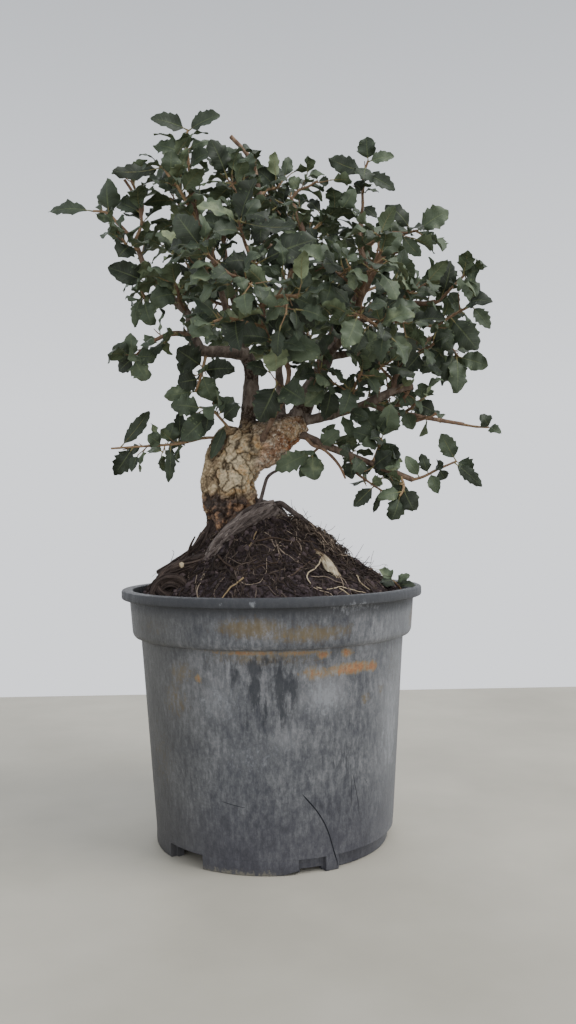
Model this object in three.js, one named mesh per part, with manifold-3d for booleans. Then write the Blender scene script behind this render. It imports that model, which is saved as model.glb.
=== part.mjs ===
// A cork oak bonsai standing in a grey plastic nursery pot.
// Millimetres, +Z up. The origin is the centre of the pot's base, on the surface it stands on,
// and the side seen from the front faces -Y.

import * as THREE from "three";
import { mergeVertices } from "three/addons/utils/BufferGeometryUtils.js";
import Module from "manifold-3d";

const wasm = await Module();
wasm.setup();

// Driving dimensions of the pot
const RIM_RADIUS = 95;
const RIM_TOP = 157.2;
const LIP_HEIGHT = 5.6;
const COLLAR_TOP_RADIUS = 90;
const COLLAR_LOW_RADIUS = 88.4;
const COLLAR_BOTTOM = 127.5;
const BODY_TOP_RADIUS = 83.1;
const BASE_RADIUS = 75;
const FOOT_RADIUS = 71.4;
const FOOT_HEIGHT = 8.5;
const FOOT_WIDTH = 4.4;
const WALL = 2;
const FLOOR_UNDER = 6.5;
const FLOOR_TOP = 9.5;
const EDGE_CHAMFER = 0.8;
// The step under the collar: how far its lower edge is rounded inwards and upwards
const STEP_INSET = 1.4;
const STEP_HEIGHT = 3.6;
const POT_SEGMENTS = 30;
const SECTOR_SEGMENTS = 4;
// Where the foot stands out to the full radius, in degrees from the front towards the right
const FOOT_SPANS = [[-104, -56], [-34, 10], [22.5, 28.8], [96, 142], [176, 222]];
// Where the foot is cut away, as a drain gap, and how far a cutter stands out past it
const DRAIN_SPANS = [[11, 21.5], [-51, -40]];
const CUT_MARGIN = 2;

// Driving dimensions of the soil and the wood
const SOIL_GAP = 0.5;
const SOIL_SEGMENTS = 20;
// Distance from the middle of the mound and height of the soil there
const MOUND = [[20, 199], [37, 188.5], [47, 179], [60, 169], [74, 160]];
const MOUND_SHIFT = -8;
const MOUND_TOP = 202;
const SOIL_EDGE = 149;
const GRAIN = 1.5;
const PIECE_GAP = 0.35;
const CORK_RELIEF = 0.055;
const TRUNK_SIDES = 12;
const LIMB_SIDES = 5;
const STEM_SIDES = 3;
const HOLE_SIDES = 8;
const STEM_TAPER = 0.3;

// Leaves
const KEEL = 0.45;
const ROOT_DEPTH = 0.15;
const PETIOLE_SHARE = 0.15;
const FOLD = 0.22;
const WAVE = 0.16;
const WAVE_RATE = 8;
const WIDTH_FACTOR = 1.264;
const LEFT_EDGE = [[0.34, 1.06], [0.5, 0.76], [0.73, 1.1]];
const RIGHT_EDGE = [[0.27, 1.02], [0.44, 0.74], [0.63, 1.08]];

// How leaves that are placed by rule grow, with ranges from lowest to highest. Lean is the
// angle from the stem in radians, and the other ranges are shares of a size or a length.
const LAST_LEAF_LEAN = [0.25, 0.55];
const SIDE_LEAF_LEAN = [0.6, 1.25];
const TURN_SPREAD = [-0.7, 0.7];
const LENGTH_RANGE = [0.72, 1.22];
const WIDTH_RANGE = [0.48, 0.64];
const ARCH_RANGE = [0.04, 0.16];
const TILT_RANGE = [0, 0.9];
const LIFT_RANGE = [-0.15, 0.15];
const DROOP = [0, 0, -0.15];
const MOSTLY_UP = [0, -0.15, 0.6];
const OUTWARD_SHARE = 0.4;
const FIRST_LEAF_SHARE = 0.3;
const LEAFY_SHARE = 0.68;
const FULL_TURN = 2 * Math.PI;
const LEAF_GAP = 3.3;
const OWN_LEAF_GAP = 2.8;
const STEM_GAP = 2;
const SAMPLE_STEP = 3;
const CROWN_MIDDLE = [0, 0, 345];
const CROWN_DEPTH = 108;
const CROWN_HALF_HEIGHT = 130;
const GOLDEN_TURN = 2.39996;
const DRAW_TURN = 0.8;
const DRAWS = 14;
const SEED = 20611;

// Trunk, limbs and twigs that stay bare: each point is x, y, z and the radius there
const LIMBS = {
  trunk: [
    [-23, 0, 166, 15], [-24, 0, 184, 16], [-25, 0, 199, 16.5], [-26, 0, 215, 17], [-26, 0, 227, 17.3],
    [-22, 0, 240, 18], [-19, 0, 251, 16.5], [-17, 0, 257, 11.5],
  ],
  arm: [
    [-23, 0, 237, 13], [-11, -1, 245, 15], [-2, -2, 250, 14.6], [7, -2, 255, 12.3], [15, -2, 259, 9.6],
    [21, -2, 263, 7.5],
  ],
  limb_a: [
    [15, -2, 258, 7.5], [21, -2, 269, 6.4], [26, 0, 281, 5.8], [32, 2, 292, 5.3], [37, 4, 303, 5],
    [42, 7, 316, 4.4], [47, 9, 330, 3.9], [51, 10, 343, 3.4],
  ],
  limb_b: [
    [17, -4, 261, 3.4], [55, -8, 270, 2.7], [79, -12, 280, 2.7], [91, -14, 283, 2.2],
  ],
  limb_b2: [
    [79, -12, 280, 1.9], [80, -14, 289, 1.7], [87, -17, 298, 1.6], [97, -20, 304, 1.4],
  ],
  limb_b3: [
    [62, -9, 273, 1.8], [74, -4, 269, 1.6], [86, 0, 267, 1.6], [98, 3, 265, 1.5], [110, 5, 263, 1.4],
    [127, 6, 260, 1.2],
  ],
  limb_c: [
    [17, -4, 255, 3], [26, -8, 251, 2.5], [44, -14, 242, 2.2], [72, -22, 230, 1.9],
    [88, -26, 223, 1.8],
  ],
  limb_d: [
    [-15, 0, 256, 5], [-13, 0, 270, 5], [-11, -1, 294, 4.6], [-14, -2, 304, 4.2], [-22, -4, 307, 3.9],
    [-39, -8, 307, 3.7], [-44, -9, 309, 3.6], [-47, -9, 315, 3.4], [-49, -8, 324, 3],
    [-52, -6, 333, 2.6], [-71, 0, 352, 2.1], [-78, 2, 361, 1.9], [-83, 4, 375, 1.6],
    [-89, 5, 385, 1.4], [-97, 5, 394, 1.2],
  ],
  limb_d2: [
    [-46, -9, 312, 2], [-52, -12, 317, 1.8], [-62, -14, 317, 1.5], [-75, -15, 311, 1.3],
  ],
  limb_e: [
    [-6, -12, 247, 2.8], [-2, -20, 254, 2.2], [3, -30, 263, 2], [8, -38, 272, 1.9],
    [12, -49, 287, 1.8], [5, -57, 301, 1.7], [-2, -60, 311, 1.6], [-3, -62, 323, 1.5],
    [-9, -60, 349, 1.3], [-12, -57, 359, 1.1],
  ],
  limb_f: [
    [51, 10, 340, 3], [51, 6, 350, 2.6], [46, 0, 357, 2.4], [31, -10, 368, 2.1], [25, -12, 377, 1.9],
    [16, -12, 402, 1.3],
  ],
  limb_g: [
    [29, -10, 370, 1.9], [20, -14, 371, 1.9], [3, -14, 371, 1.9], [-1, -12, 379, 1.9],
    [-3, -9, 399, 1.9], [-7, -6, 422, 1.7], [-12, -5, 434, 1.5], [-22, -5, 445, 1.4],
  ],
  limb_h: [
    [-21, -4, 307, 2.8], [-25, -2, 327, 2.5], [-29, 0, 346, 2.3], [-38, 2, 381, 1.9],
    [-44, 0, 393, 1.7], [-47, -4, 408, 1.4], [-48, -5, 417, 1.2],
  ],
  limb_i: [
    [50, 10, 339, 2.6], [64, 6, 354, 2], [61, 6, 379, 1.7], [62, 6, 397, 1.5],
  ],
  limb_j: [
    [47, 9, 327, 2.6], [63, 0, 328, 2.1], [89, -6, 336, 1.7], [100, -8, 336, 1.5], [107, -9, 337, 1.3],
  ],
  limb_k: [
    [38, 5, 305, 2.8], [51, 12, 308, 2.4], [70, 20, 312, 2.1], [105, 26, 319, 1.6],
    [116, 26, 323, 1.4],
  ],
  limb_l: [
    [-11, 0, 291, 3], [-15, 18, 311, 2.7], [-20, 36, 338, 2.4], [-27, 50, 367, 2], [-30, 54, 393, 1.7],
    [-32, 52, 414, 1.3],
  ],
  limb_m: [
    [31, 2, 289, 3.4], [41, 24, 312, 2.9], [53, 44, 336, 2.5], [65, 56, 361, 2.1], [72, 58, 384, 1.7],
    [74, 55, 402, 1.3],
  ],
  limb_n: [
    [8, 2, 259, 3.6], [8, 18, 279, 3], [7, 36, 305, 2.6], [9, 52, 336, 2.2], [15, 60, 366, 1.8],
    [19, 58, 390, 1.4],
  ],
  limb_p: [
    [38, 4, 305, 2.6], [45, -18, 310, 2.2], [51, -38, 318, 1.9], [54, -54, 328, 1.6],
    [56, -62, 337, 1.3],
  ],
};

// Roots that show above the soil, in the same form
const ROOTS = {
  shoulder: [
    [-22, 4, 205, 11], [-4, 0, 205, 7.5], [5, 0, 200, 6.5], [14, -6, 180, 4],
  ],
  oblique: [
    [2, -6, 208, 4], [-5, -13, 204, 6.5], [-15, -19, 198, 7.5], [-29, -27, 186, 6.2],
    [-39, -37, 174, 3.5],
  ],
  left_flare: [
    [-31, -4, 200, 9], [-39, -8, 191, 6], [-50, -12, 179, 3.4], [-73, 0, 167, 1.8],
  ],
  coil: [
    [-32, -30, 182, 4], [-43, -32, 179, 4.2], [-55, -35, 177, 4.6], [-65, -40, 171, 5],
    [-68, -46, 163, 4.8], [-63, -50, 157, 4.4], [-55, -50, 156, 3.6],
  ],
  arching: [
    [1, -4, 208, 2.4], [6, -4, 210, 2], [12, -5, 206, 1.8], [26, -8, 195, 1.7], [41, -10, 182, 1.5],
    [51, -14, 166, 1.2],
  ],
  upright: [
    [-9, -10, 205, 1.8], [-6, -10, 213, 1.3], [-4, -9, 220, 1.2], [-2, -8, 226, 1.1], [1, -7, 229, 1],
    [5, -6, 231, 0.8],
  ],
  pale: [
    [7, -8, 192, 4], [17, -20, 186, 3.2], [27, -30, 181, 3], [35, -38, 177, 3.6], [34, -44, 170, 3.8],
    [30, -49, 162, 3],
  ],
  back_a: [
    [-20, 14, 200, 8], [-16, 34, 186, 5], [-10, 60, 161, 2.8],
  ],
  back_c: [
    [-6, 8, 203, 6], [17, 30, 184, 3.8], [35, 50, 161, 2.4],
  ],
};

// Leafy sprays. A twig starts inside its limb. A leaf is the share of the twig where it
// grows, the place of its tip, its width, the turn of its face from up towards the front in
// degrees, and how far it arches as a share of its length. Fill leaves are placed by rule.
const SPRAYS = [
  {
    name: "top_left", radius: 1.1, fill: 3, size: 19,
    twig: [[-48, -5, 415], [-49, -8, 429], [-50, -8, 441], [-49, -8, 448]],
    leaves: [
      [1, -72, -14, 453, 12, 60, 0.08], [0.98, -28, -14, 455, 12, 55, 0.06],
      [0.5, -72, -2, 441, 13, 50, 0.1], [0.62, -33, -4, 443, 10, 40, 0.1],
      [0.3, -34, -24, 427, 12, 70, 0.1],
    ],
  },
  {
    name: "upper_left", radius: 1.1, fill: 5, size: 19,
    twig: [[-45, 0, 394], [-51, -10, 403], [-56, -16, 410], [-61, -18, 416], [-64, -18, 421]],
    leaves: [
      [1, -95, -22, 417, 11, 55, -0.1], [0.8, -58, -24, 429, 12, 60, 0.1],
    ],
  },
  {
    name: "left_tip", radius: 1.1, fill: 3, size: 17,
    twig: [[-97, 5, 394], [-103, 6, 400], [-108, 8, 402], [-113, 10, 403]],
    leaves: [
      [1, -145, 20, 406, 11, 50, 0.08], [0.35, -102, 0, 421, 16, 75, 0.06],
      [0.55, -106, 6, 394, 12, 70, 0.1],
    ],
  },
  {
    name: "left_stub", radius: 1.1, fill: 4, size: 18,
    twig: [[-86, 4, 380], [-81, 6, 394], [-83, 4, 410], [-87, 2, 420]],
    leaves: [
      [0.5, -97, 10, 409, 12, 60, 0.1],
    ],
  },
  {
    name: "left_dark", radius: 1, fill: 4, size: 18,
    twig: [[-83, 4, 375], [-88, -4, 375], [-91, -8, 378], [-94, -10, 383]],
    leaves: [
      [0.45, -93, -16, 365, 15, 70, 0.1], [1, -97, -14, 378, 10, 60, 0.1],
    ],
  },
  {
    name: "left_mid", radius: 1, fill: 2, size: 17,
    twig: [[-75, 1, 357], [-78, -4, 351], [-80, -6, 347], [-78, -8, 341]],
    leaves: [
      [0.3, -101, -8, 361, 15, 70, 0.1], [0.8, -85, -6, 323, 7, 25, 0.15],
      [1, -73, -12, 323, 13, 80, 0.1],
    ],
  },
  {
    name: "left_cluster", radius: 1, fill: 1, size: 14,
    twig: [[-74, -15, 311], [-79, -16, 307], [-84, -17, 302]],
    leaves: [
      [1, -96, -22, 308, 12, 70, 0.1], [0.95, -85, -20, 317, 11, 75, 0.1],
      [0.9, -69, -22, 301, 11, 75, 0.1], [1, -94, -14, 294, 10, 70, 0.1],
      [1, -75, -22, 287, 13, 75, 0.1], [0.1, -73, -10, 317, 9, 40, 0.1],
    ],
  },
  {
    name: "left_inner", radius: 1.1, fill: 5, size: 20,
    twig: [[-52, -6, 333], [-55, -20, 337], [-55, -28, 342], [-59, -30, 349]],
    leaves: [
      [0.6, -71, -34, 334, 15, 60, 0.1],
    ],
  },
  {
    name: "left_low_big", radius: 1.1, fill: 2, size: 17,
    twig: [[-39, -8, 307], [-42, -12, 293], [-44, -13, 286], [-46, -13, 281]],
    leaves: [
      [0.4, -57, -18, 307, 17, 75, 0.08], [0.5, -21, -20, 294, 14, 65, 0.1],
      [0.55, -35, -10, 275, 14, 80, 0.1], [0.7, -57, -16, 286, 14, 75, 0.1],
      [1, -66, -14, 278, 11, 75, 0.06],
    ],
  },
  {
    name: "left_low", radius: 1, fill: 1, size: 16,
    twig: [[-25, -11, 257], [-30, -14, 263], [-35, -15, 268], [-41, -15, 270]],
    leaves: [
      [1, -61, -20, 272, 13, 65, 0.08], [0.35, -19, -24, 271, 12, 55, 0.1],
      [0.75, -55, -15, 250, 15, 75, 0.1], [0.85, -40, -20, 254, 8, 80, 0.1],
      [0.2, -37, -16, 238, 7, 60, 0.15],
    ],
  },
  {
    name: "lower_left", radius: 1, fill: 0, size: 16,
    twig: [
      [-30, -7, 252], [-41, -9, 252], [-54, -10, 249], [-63, -10, 248], [-82, -10, 247],
      [-100, -10, 246],
    ],
    leaves: [
      [0.92, -75, -14, 269, 9, 65, -0.12], [0.8, -98, -12, 229, 12, 75, 0.08],
      [0.55, -76, -16, 254, 10, 70, 0.1], [0.5, -60, -12, 262, 10, 75, 0.1],
      [0.4, -57, -6, 269, 8, 60, 0.1], [0.47, -64, -10, 224, 7, 70, 0.1],
    ],
  },
  {
    name: "top_cut", radius: 1.1, fill: 5, size: 20,
    twig: [[-7, -6, 422], [-12, -14, 416], [-17, -20, 411], [-23, -22, 406]],
    leaves: [
      [0.4, -27, -16, 434, 12, 60, 0.1],
    ],
  },
  {
    name: "top_mid", radius: 1.1, fill: 4, size: 18,
    twig: [[-3, -8, 406], [1, -4, 411], [7, -2, 413], [12, -2, 419]],
    leaves: [
      [0.6, -5, -4, 424, 11, 60, 0.1], [1, 15, -2, 433, 8, 80, 0.08],
    ],
  },
  {
    name: "top_small", radius: 1, fill: 4, size: 16,
    twig: [[16, -12, 402], [21, -11, 408], [27, -9, 411], [33, -8, 415]],
    leaves: [
      [1, 30, -8, 422, 6, 60, 0.15], [1, 40, -8, 413, 7, 60, 0.1], [0.4, 15, -14, 415, 9, 60, 0.1],
    ],
  },
  {
    name: "top_back", radius: 1.1, fill: 5, size: 20,
    twig: [[25, -12, 377], [33, -6, 387], [42, -2, 395], [50, 0, 401]],
    leaves: [
      [1, 56, 2, 406, 9, 60, 0.1],
    ],
  },
  {
    name: "top_right", radius: 1.1, fill: 2, size: 16,
    twig: [[62, 6, 396], [63, 6, 404], [63, 6, 414], [64, 6, 424], [67, 6, 433]],
    leaves: [
      [1, 66, 4, 448, 13, 75, 0.06], [0.98, 84, 4, 435, 9, 60, 0.1], [0.8, 41, 8, 436, 12, 70, -0.1],
      [0.76, 84, 2, 412, 10, 65, 0.12], [0.45, 57, 2, 417, 10, 70, 0.1], [0.2, 72, 4, 395, 7, 60, 0.1],
    ],
  },
  {
    name: "right_bright", radius: 1.1, fill: 3, size: 18,
    twig: [[62, 6, 375], [71, 2, 380], [80, 0, 384], [89, -2, 383], [97, -4, 384]],
    leaves: [
      [1, 116, -10, 395, 15, 60, 0.06], [0.9, 77, 0, 402, 11, 50, 0.2],
      [0.98, 110, -2, 376, 7, 60, 0.1], [0.72, 98, -8, 366, 9, 60, -0.1],
      [0.42, 85, 4, 393, 9, 60, 0.1],
    ],
  },
  {
    name: "right_stub", radius: 1.4, fill: 3, size: 18,
    twig: [[64, 6, 354], [70, 0, 362], [76, -4, 372]],
    leaves: [
      [0.5, 85, -8, 357, 12, 60, 0.1], [0.2, 79, -10, 346, 13, 60, 0.1],
    ],
  },
  {
    name: "right_outer_top", radius: 1.1, fill: 2, size: 17,
    twig: [[100, -8, 336], [107, -9, 336], [117, -12, 345], [126, -13, 354], [130, -13, 358]],
    leaves: [
      [0.3, 116, -16, 361, 14, 75, 0.08], [0.8, 133, -20, 354, 14, 75, 0.08],
      [0.82, 130, -16, 333, 9, 75, 0.1], [0.45, 121, -8, 335, 9, 70, 0.1],
    ],
  },
  {
    name: "right_outer_mid", radius: 1.1, fill: 3, size: 18,
    twig: [
      [89, -6, 336], [95, -14, 325], [103, -18, 319], [111, -20, 323], [120, -21, 328],
      [127, -22, 331],
    ],
    leaves: [
      [1, 138, -24, 316, 9, 65, 0.1], [0.98, 128, -24, 343, 8, 70, 0.1],
      [0.72, 130, -24, 303, 16, 75, 0.1], [0.5, 114, -22, 304, 14, 75, 0.1],
    ],
  },
  {
    name: "right_low", radius: 1.1, fill: 2, size: 17,
    twig: [[116, 26, 323], [120, 22, 316], [123, 18, 311], [126, 16, 306]],
    leaves: [
      [1, 145, 12, 299, 13, 70, 0.08], [0.75, 116, 14, 289, 12, 75, 0.08],
      [0.9, 124, 12, 281, 14, 75, 0.06], [0.4, 101, 12, 295, 14, 70, 0.1],
    ],
  },
  {
    name: "limb_b_top", radius: 1, fill: 4, size: 16,
    twig: [[95, -20, 303], [99, -24, 305], [103, -27, 307]],
    leaves: [
      [0.1, 83, -24, 289, 12, 70, 0.1], [0.8, 110, -34, 310, 11, 60, 0.1],
    ],
  },
  {
    name: "thin_end", radius: 0.9, fill: 0, size: 14,
    twig: [[126, 6, 260], [134, 2, 258], [141, -3, 257]],
    leaves: [
      [1, 135, -6, 265, 9, 60, 0.25], [1, 146, -13, 252, 7, 65, 0.15],
    ],
  },
  {
    name: "thin_mid", radius: 1, fill: 1, size: 14,
    twig: [[86, 0, 267], [91, -6, 270], [94, -8, 273], [96, -9, 274]],
    leaves: [
      [1, 97, -12, 285, 12, 75, 0.08], [0.8, 105, -10, 266, 11, 60, 0.1],
      [0.6, 85, -8, 280, 12, 70, 0.1], [0.2, 92, -4, 256, 10, 70, 0.1],
    ],
  },
  {
    name: "limb_c_end", radius: 1, fill: 0, size: 14,
    twig: [[88, -26, 223], [95, -26, 225], [103, -26, 229], [115, -26, 234]],
    leaves: [
      [1, 105, -30, 251, 11, 70, -0.1], [1, 125, -26, 228, 11, 70, 0.1],
      [0.95, 130, -30, 218, 8, 65, 0.1], [0.6, 108, -24, 223, 8, 70, 0.15],
      [0.35, 93, -28, 239, 7, 60, 0.1], [0.15, 84, -24, 238, 8, 60, 0.1],
      [0.5, 106, -32, 233, 8, 40, 0.1], [0.4, 103, -30, 214, 8, 70, 0.1],
    ],
  },
  {
    name: "limb_c_low", radius: 1, fill: 1, size: 15,
    twig: [[80, -24, 227], [82, -28, 220], [81, -30, 216], [79, -31, 213]],
    leaves: [
      [0.65, 87, -34, 204, 13, 75, 0.08], [1, 74, -30, 198, 12, 75, 0.08],
      [0.8, 65, -36, 212, 9, 50, 0.1], [0.3, 78, -20, 211, 12, 70, 0.1],
    ],
  },
  {
    name: "low_mid", radius: 0.9, fill: 1, size: 12,
    twig: [[50, -16, 239], [53, -20, 229], [60, -22, 223], [67, -23, 218], [73, -24, 214]],
    leaves: [
      [0.72, 51, -26, 207, 9, 65, -0.12], [0.85, 64, -20, 203, 4, 60, 0.06],
      [0.08, 51, -22, 224, 11, 75, 0.06], [0.35, 63, -24, 231, 6, 50, 0.1],
    ],
  },
  {
    name: "limb_c_up", radius: 1.1, fill: 1, size: 16,
    twig: [[64, -20, 234], [67, -18, 241], [70, -17, 249]],
    leaves: [
      [1, 57, -14, 269, 13, 70, 0.06], [1, 78, -22, 230, 15, 75, 0.08],
      [1, 75, -26, 270, 14, 75, 0.08], [0.95, 51, -20, 254, 12, 70, 0.1],
      [0.25, 72, -18, 226, 9, 60, 0.1],
    ],
  },
  {
    name: "under_arm", radius: 1, fill: 1, size: 15,
    twig: [[33, -10, 247], [30, -11, 244], [27, -11, 241]],
    leaves: [
      [1, 28, -14, 224, 15, 80, 0.06], [0.85, 3, -8, 231, 12, 60, 0.1],
      [0.95, 19, -8, 226, 8, 70, 0.1], [0.3, 44, -16, 255, 10, 60, 0.15],
    ],
  },
  {
    name: "front_pair", radius: 1.1, fill: 0, size: 20,
    twig: [[10, -43, 278], [7, -48, 279], [5, -52, 280]],
    leaves: [
      [1, -6, -58, 257, 17, 75, 0.06], [0.5, 21, -58, 268, 17, 70, 0.08],
    ],
  },
  {
    name: "front_mid", radius: 1.1, fill: 2, size: 22,
    twig: [[5, -57, 301], [5, -64, 300], [3, -71, 301]],
    leaves: [
      [0.5, 29, -78, 292, 18, 55, 0.08], [1, 4, -80, 282, 15, -50, 0.1],
      [1, -19, -82, 301, 14, 45, 0.1],
    ],
  },
  {
    name: "front_left", radius: 1.2, fill: 4, size: 22,
    twig: [[-2, -60, 311], [-12, -72, 311], [-22, -80, 312], [-30, -85, 309]],
    leaves: [
      [0.6, -15, -95, 291, 15, 55, 0.1], [1, -42, -92, 301, 14, 50, 0.1],
    ],
  },
  {
    name: "front_leaf", radius: 1.1, fill: 3, size: 22,
    twig: [[-9, -60, 346], [-7, -65, 346], [-5, -68, 346]],
    leaves: [
      [1, 29, -76, 357, 19, 60, 0.08], [0.8, -23, -78, 344, 14, 50, 0.1],
    ],
  },
  {
    name: "front_top", radius: 1.1, fill: 3, size: 22,
    twig: [[-12, -57, 359], [-14, -62, 364], [-16, -66, 371]],
    leaves: [
      [1, 17, -76, 365, 14, 30, -0.08], [0.9, -39, -76, 376, 13, 35, 0.1],
      [0.5, -30, -80, 360, 14, 50, 0.1],
    ],
  },
];

// Forked sprays inside, before and behind the crown, with all of their leaves placed by rule
const FORKED_SPRAYS = [
  { name: "inner_h1", twig: [[-30, 0, 351], [-35, -20, 350], [-41, -38, 358]] },
  { name: "inner_h2", twig: [[-41, 1, 387], [-48, 18, 394], [-60, 36, 409]] },
  { name: "inner_g1", twig: [[-2, -11, 388], [-8, -26, 389], [-17, -40, 394]] },
  { name: "inner_g2", twig: [[15, -15, 371], [17, 6, 385], [13, 30, 405]] },
  { name: "inner_i1", twig: [[58, 7, 347], [68, 24, 353], [84, 42, 363]] },
  { name: "inner_j1", twig: [[76, -4, 332], [78, -24, 332], [85, -44, 336]] },
  { name: "inner_a1", twig: [[37, 4, 303], [30, -20, 305], [19, -42, 314]] },
  { name: "inner_b1", twig: [[53, -8, 269], [52, -24, 278], [56, -40, 288]] },
  { name: "inner_k1", twig: [[70, 20, 312], [75, 32, 304], [86, 44, 295]] },
  { name: "front_p1", twig: [[53, -46, 322], [57, -64, 314], [64, -82, 304]] },
  { name: "front_p2", twig: [[55, -60, 334], [59, -70, 341], [64, -80, 349]] },
  { name: "front_p3", twig: [[55, -57, 330], [46, -70, 334], [35, -84, 338]] },
  { name: "front_e1", twig: [[-3, -62, 323], [6, -75, 325], [17, -88, 322]] },
  { name: "front_e2", twig: [[-5, -62, 336], [-15, -77, 335], [-27, -90, 336]] },
  { name: "back_l1", twig: [[-22, 39, 345], [-36, 50, 352], [-55, 58, 363]] },
  { name: "back_l2", twig: [[-27, 51, 373], [-40, 58, 385], [-57, 62, 399]] },
  { name: "back_l3", twig: [[-31, 54, 398], [-28, 54, 412], [-18, 50, 428]] },
  { name: "back_m1", twig: [[59, 50, 349], [73, 66, 350], [95, 78, 350]] },
  { name: "back_m2", twig: [[70, 58, 379], [80, 54, 384], [93, 46, 385]] },
  { name: "back_n1", twig: [[8, 48, 326], [-3, 66, 334], [-19, 84, 345]] },
  { name: "back_n2", twig: [[12, 57, 353], [24, 72, 361], [38, 86, 376]] },
  { name: "back_n3", twig: [[18, 58, 385], [17, 58, 402], [11, 46, 416]] },
];
// Their stems: the shares and hands of the side stems, and how those turn from spray to spray
const FORK_RADIUS = 1.3;
const SIDE_STEM_RADIUS = 0.65;
const FORK_LEAF_SIZE = 20;
const FORKS = [[0.42, 1], [0.72, -1]];
const FORK_SHARE = 0.6;
const FORK_SPREAD = 0.7;
const FORK_RISE = [0, 0, 0.2];
const FORK_TURN = [0.6, 1.7];
const STEM_LEAVES = 2;
const FORK_LEAVES = 2;

// A shoot that grows from the soil by the rim, on the right
const SHOOT = {
  name: "soil_shoot",
  radius: 0.9,
  twig: [[82, -20, 144], [81, -20, 153], [78, -22, 158], [75, -24, 161]],
  leaves: [
    [1, 66, -27, 168, 8, 60, 0.1], [0.85, 85, -25, 165, 6, 60, 0.1],
    [0.9, 67, -36, 161, 8, 50, 0.1], [0.75, 88, -31, 158, 6, 60, 0.1],
  ],
};

// The dense part of the crown as seen from the front, x and z: fill leaves end inside it
const CROWN_OUTLINE = [
  [-99, 367], [-102, 397], [-108, 421], [-93, 429], [-73, 448], [-26, 450], [-2, 441], [22, 431],
  [51, 412], [71, 418], [96, 395], [99, 372], [137, 364], [140, 320], [142, 291], [110, 279],
  [105, 259], [92, 230], [90, 203], [51, 208], [19, 225], [0, 232], [20, 251], [20, 276], [-4, 277],
  [-19, 277], [-35, 242], [-64, 225], [-96, 233], [-70, 278], [-67, 287], [-98, 294], [-100, 316],
  [-69, 319], [-85, 329], [-102, 352],
];

// Small vector helpers on [x, y, z]
const add = (a, b) => [a[0] + b[0], a[1] + b[1], a[2] + b[2]];
const subtract = (a, b) => [a[0] - b[0], a[1] - b[1], a[2] - b[2]];
const scale = (a, k) => [a[0] * k, a[1] * k, a[2] * k];
const dot = (a, b) => a[0] * b[0] + a[1] * b[1] + a[2] * b[2];
const cross = (a, b) => [
  a[1] * b[2] - a[2] * b[1],
  a[2] * b[0] - a[0] * b[2],
  a[0] * b[1] - a[1] * b[0],
];
const size = (a) => Math.sqrt(dot(a, a));
const unit = (a) => scale(a, 1 / size(a));
const mix = (a, b, t) => add(scale(a, 1 - t), scale(b, t));

// A small seeded generator, so that every build draws the same leaves
function seeded(seed) {
  let state = seed >>> 0;
  return function random() {
    state = (state + 0x6d2b79f5) >>> 0;
    let value = state;
    value = Math.imul(value ^ (value >>> 15), value | 1);
    value ^= value + Math.imul(value ^ (value >>> 7), value | 61);
    return ((value ^ (value >>> 14)) >>> 0) / 4294967296;
  };
}

const between = (random, [low, high]) => low + (high - low) * random();

// Two directions square to a direction and to each other
function around(direction) {
  const guide = Math.abs(direction[2]) < 0.9 ? [0, 0, 1] : [1, 0, 0];
  const side = unit(cross(direction, guide));
  return [side, cross(side, direction)];
}

// Closed solids
function solid(vertices, faces) {
  let volume = 0;
  for (const [a, b, c] of faces) {
    volume += dot(vertices[a], cross(vertices[b], vertices[c]));
  }
  const outward = volume > 0 ? faces : faces.map(([a, b, c]) => [a, c, b]);
  return new wasm.Manifold(new wasm.Mesh({
    numProp: 3,
    vertProperties: new Float32Array(vertices.flat()),
    triVerts: new Uint32Array(outward.flat()),
  }));
}

function solidOf(geometry) {
  geometry.deleteAttribute("normal");
  geometry.deleteAttribute("uv");
  const merged = mergeVertices(geometry, 1e-4);
  const position = merged.getAttribute("position");
  const index = merged.getIndex();
  const vertices = [];
  for (let i = 0; i < position.count; i += 1) {
    vertices.push([position.getX(i), position.getY(i), position.getZ(i)]);
  }
  const faces = [];
  for (let i = 0; i < index.count; i += 3) {
    const face = [index.getX(i), index.getX(i + 1), index.getX(i + 2)];
    if (new Set(face).size === 3) faces.push(face);
  }
  return solid(vertices, faces);
}

function joined(solids) {
  return solids.reduce((whole, piece) => whole.add(piece));
}

function largestBody(made) {
  const bodies = made.decompose();
  return bodies.reduce((best, body) => (body.volume() > best.volume() ? body : best));
}

function meshOf(name, made, material) {
  const { numProp, vertProperties, triVerts } = made.getMesh();
  const positions = [];
  for (let i = 0; i < vertProperties.length; i += numProp) {
    positions.push(vertProperties[i], vertProperties[i + 1], vertProperties[i + 2]);
  }
  const geometry = new THREE.BufferGeometry();
  geometry.setAttribute("position", new THREE.Float32BufferAttribute(positions, 3));
  geometry.setIndex(Array.from(triVerts));
  geometry.computeVertexNormals();
  const mesh = new THREE.Mesh(geometry, material);
  mesh.name = name;
  return mesh;
}

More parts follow.
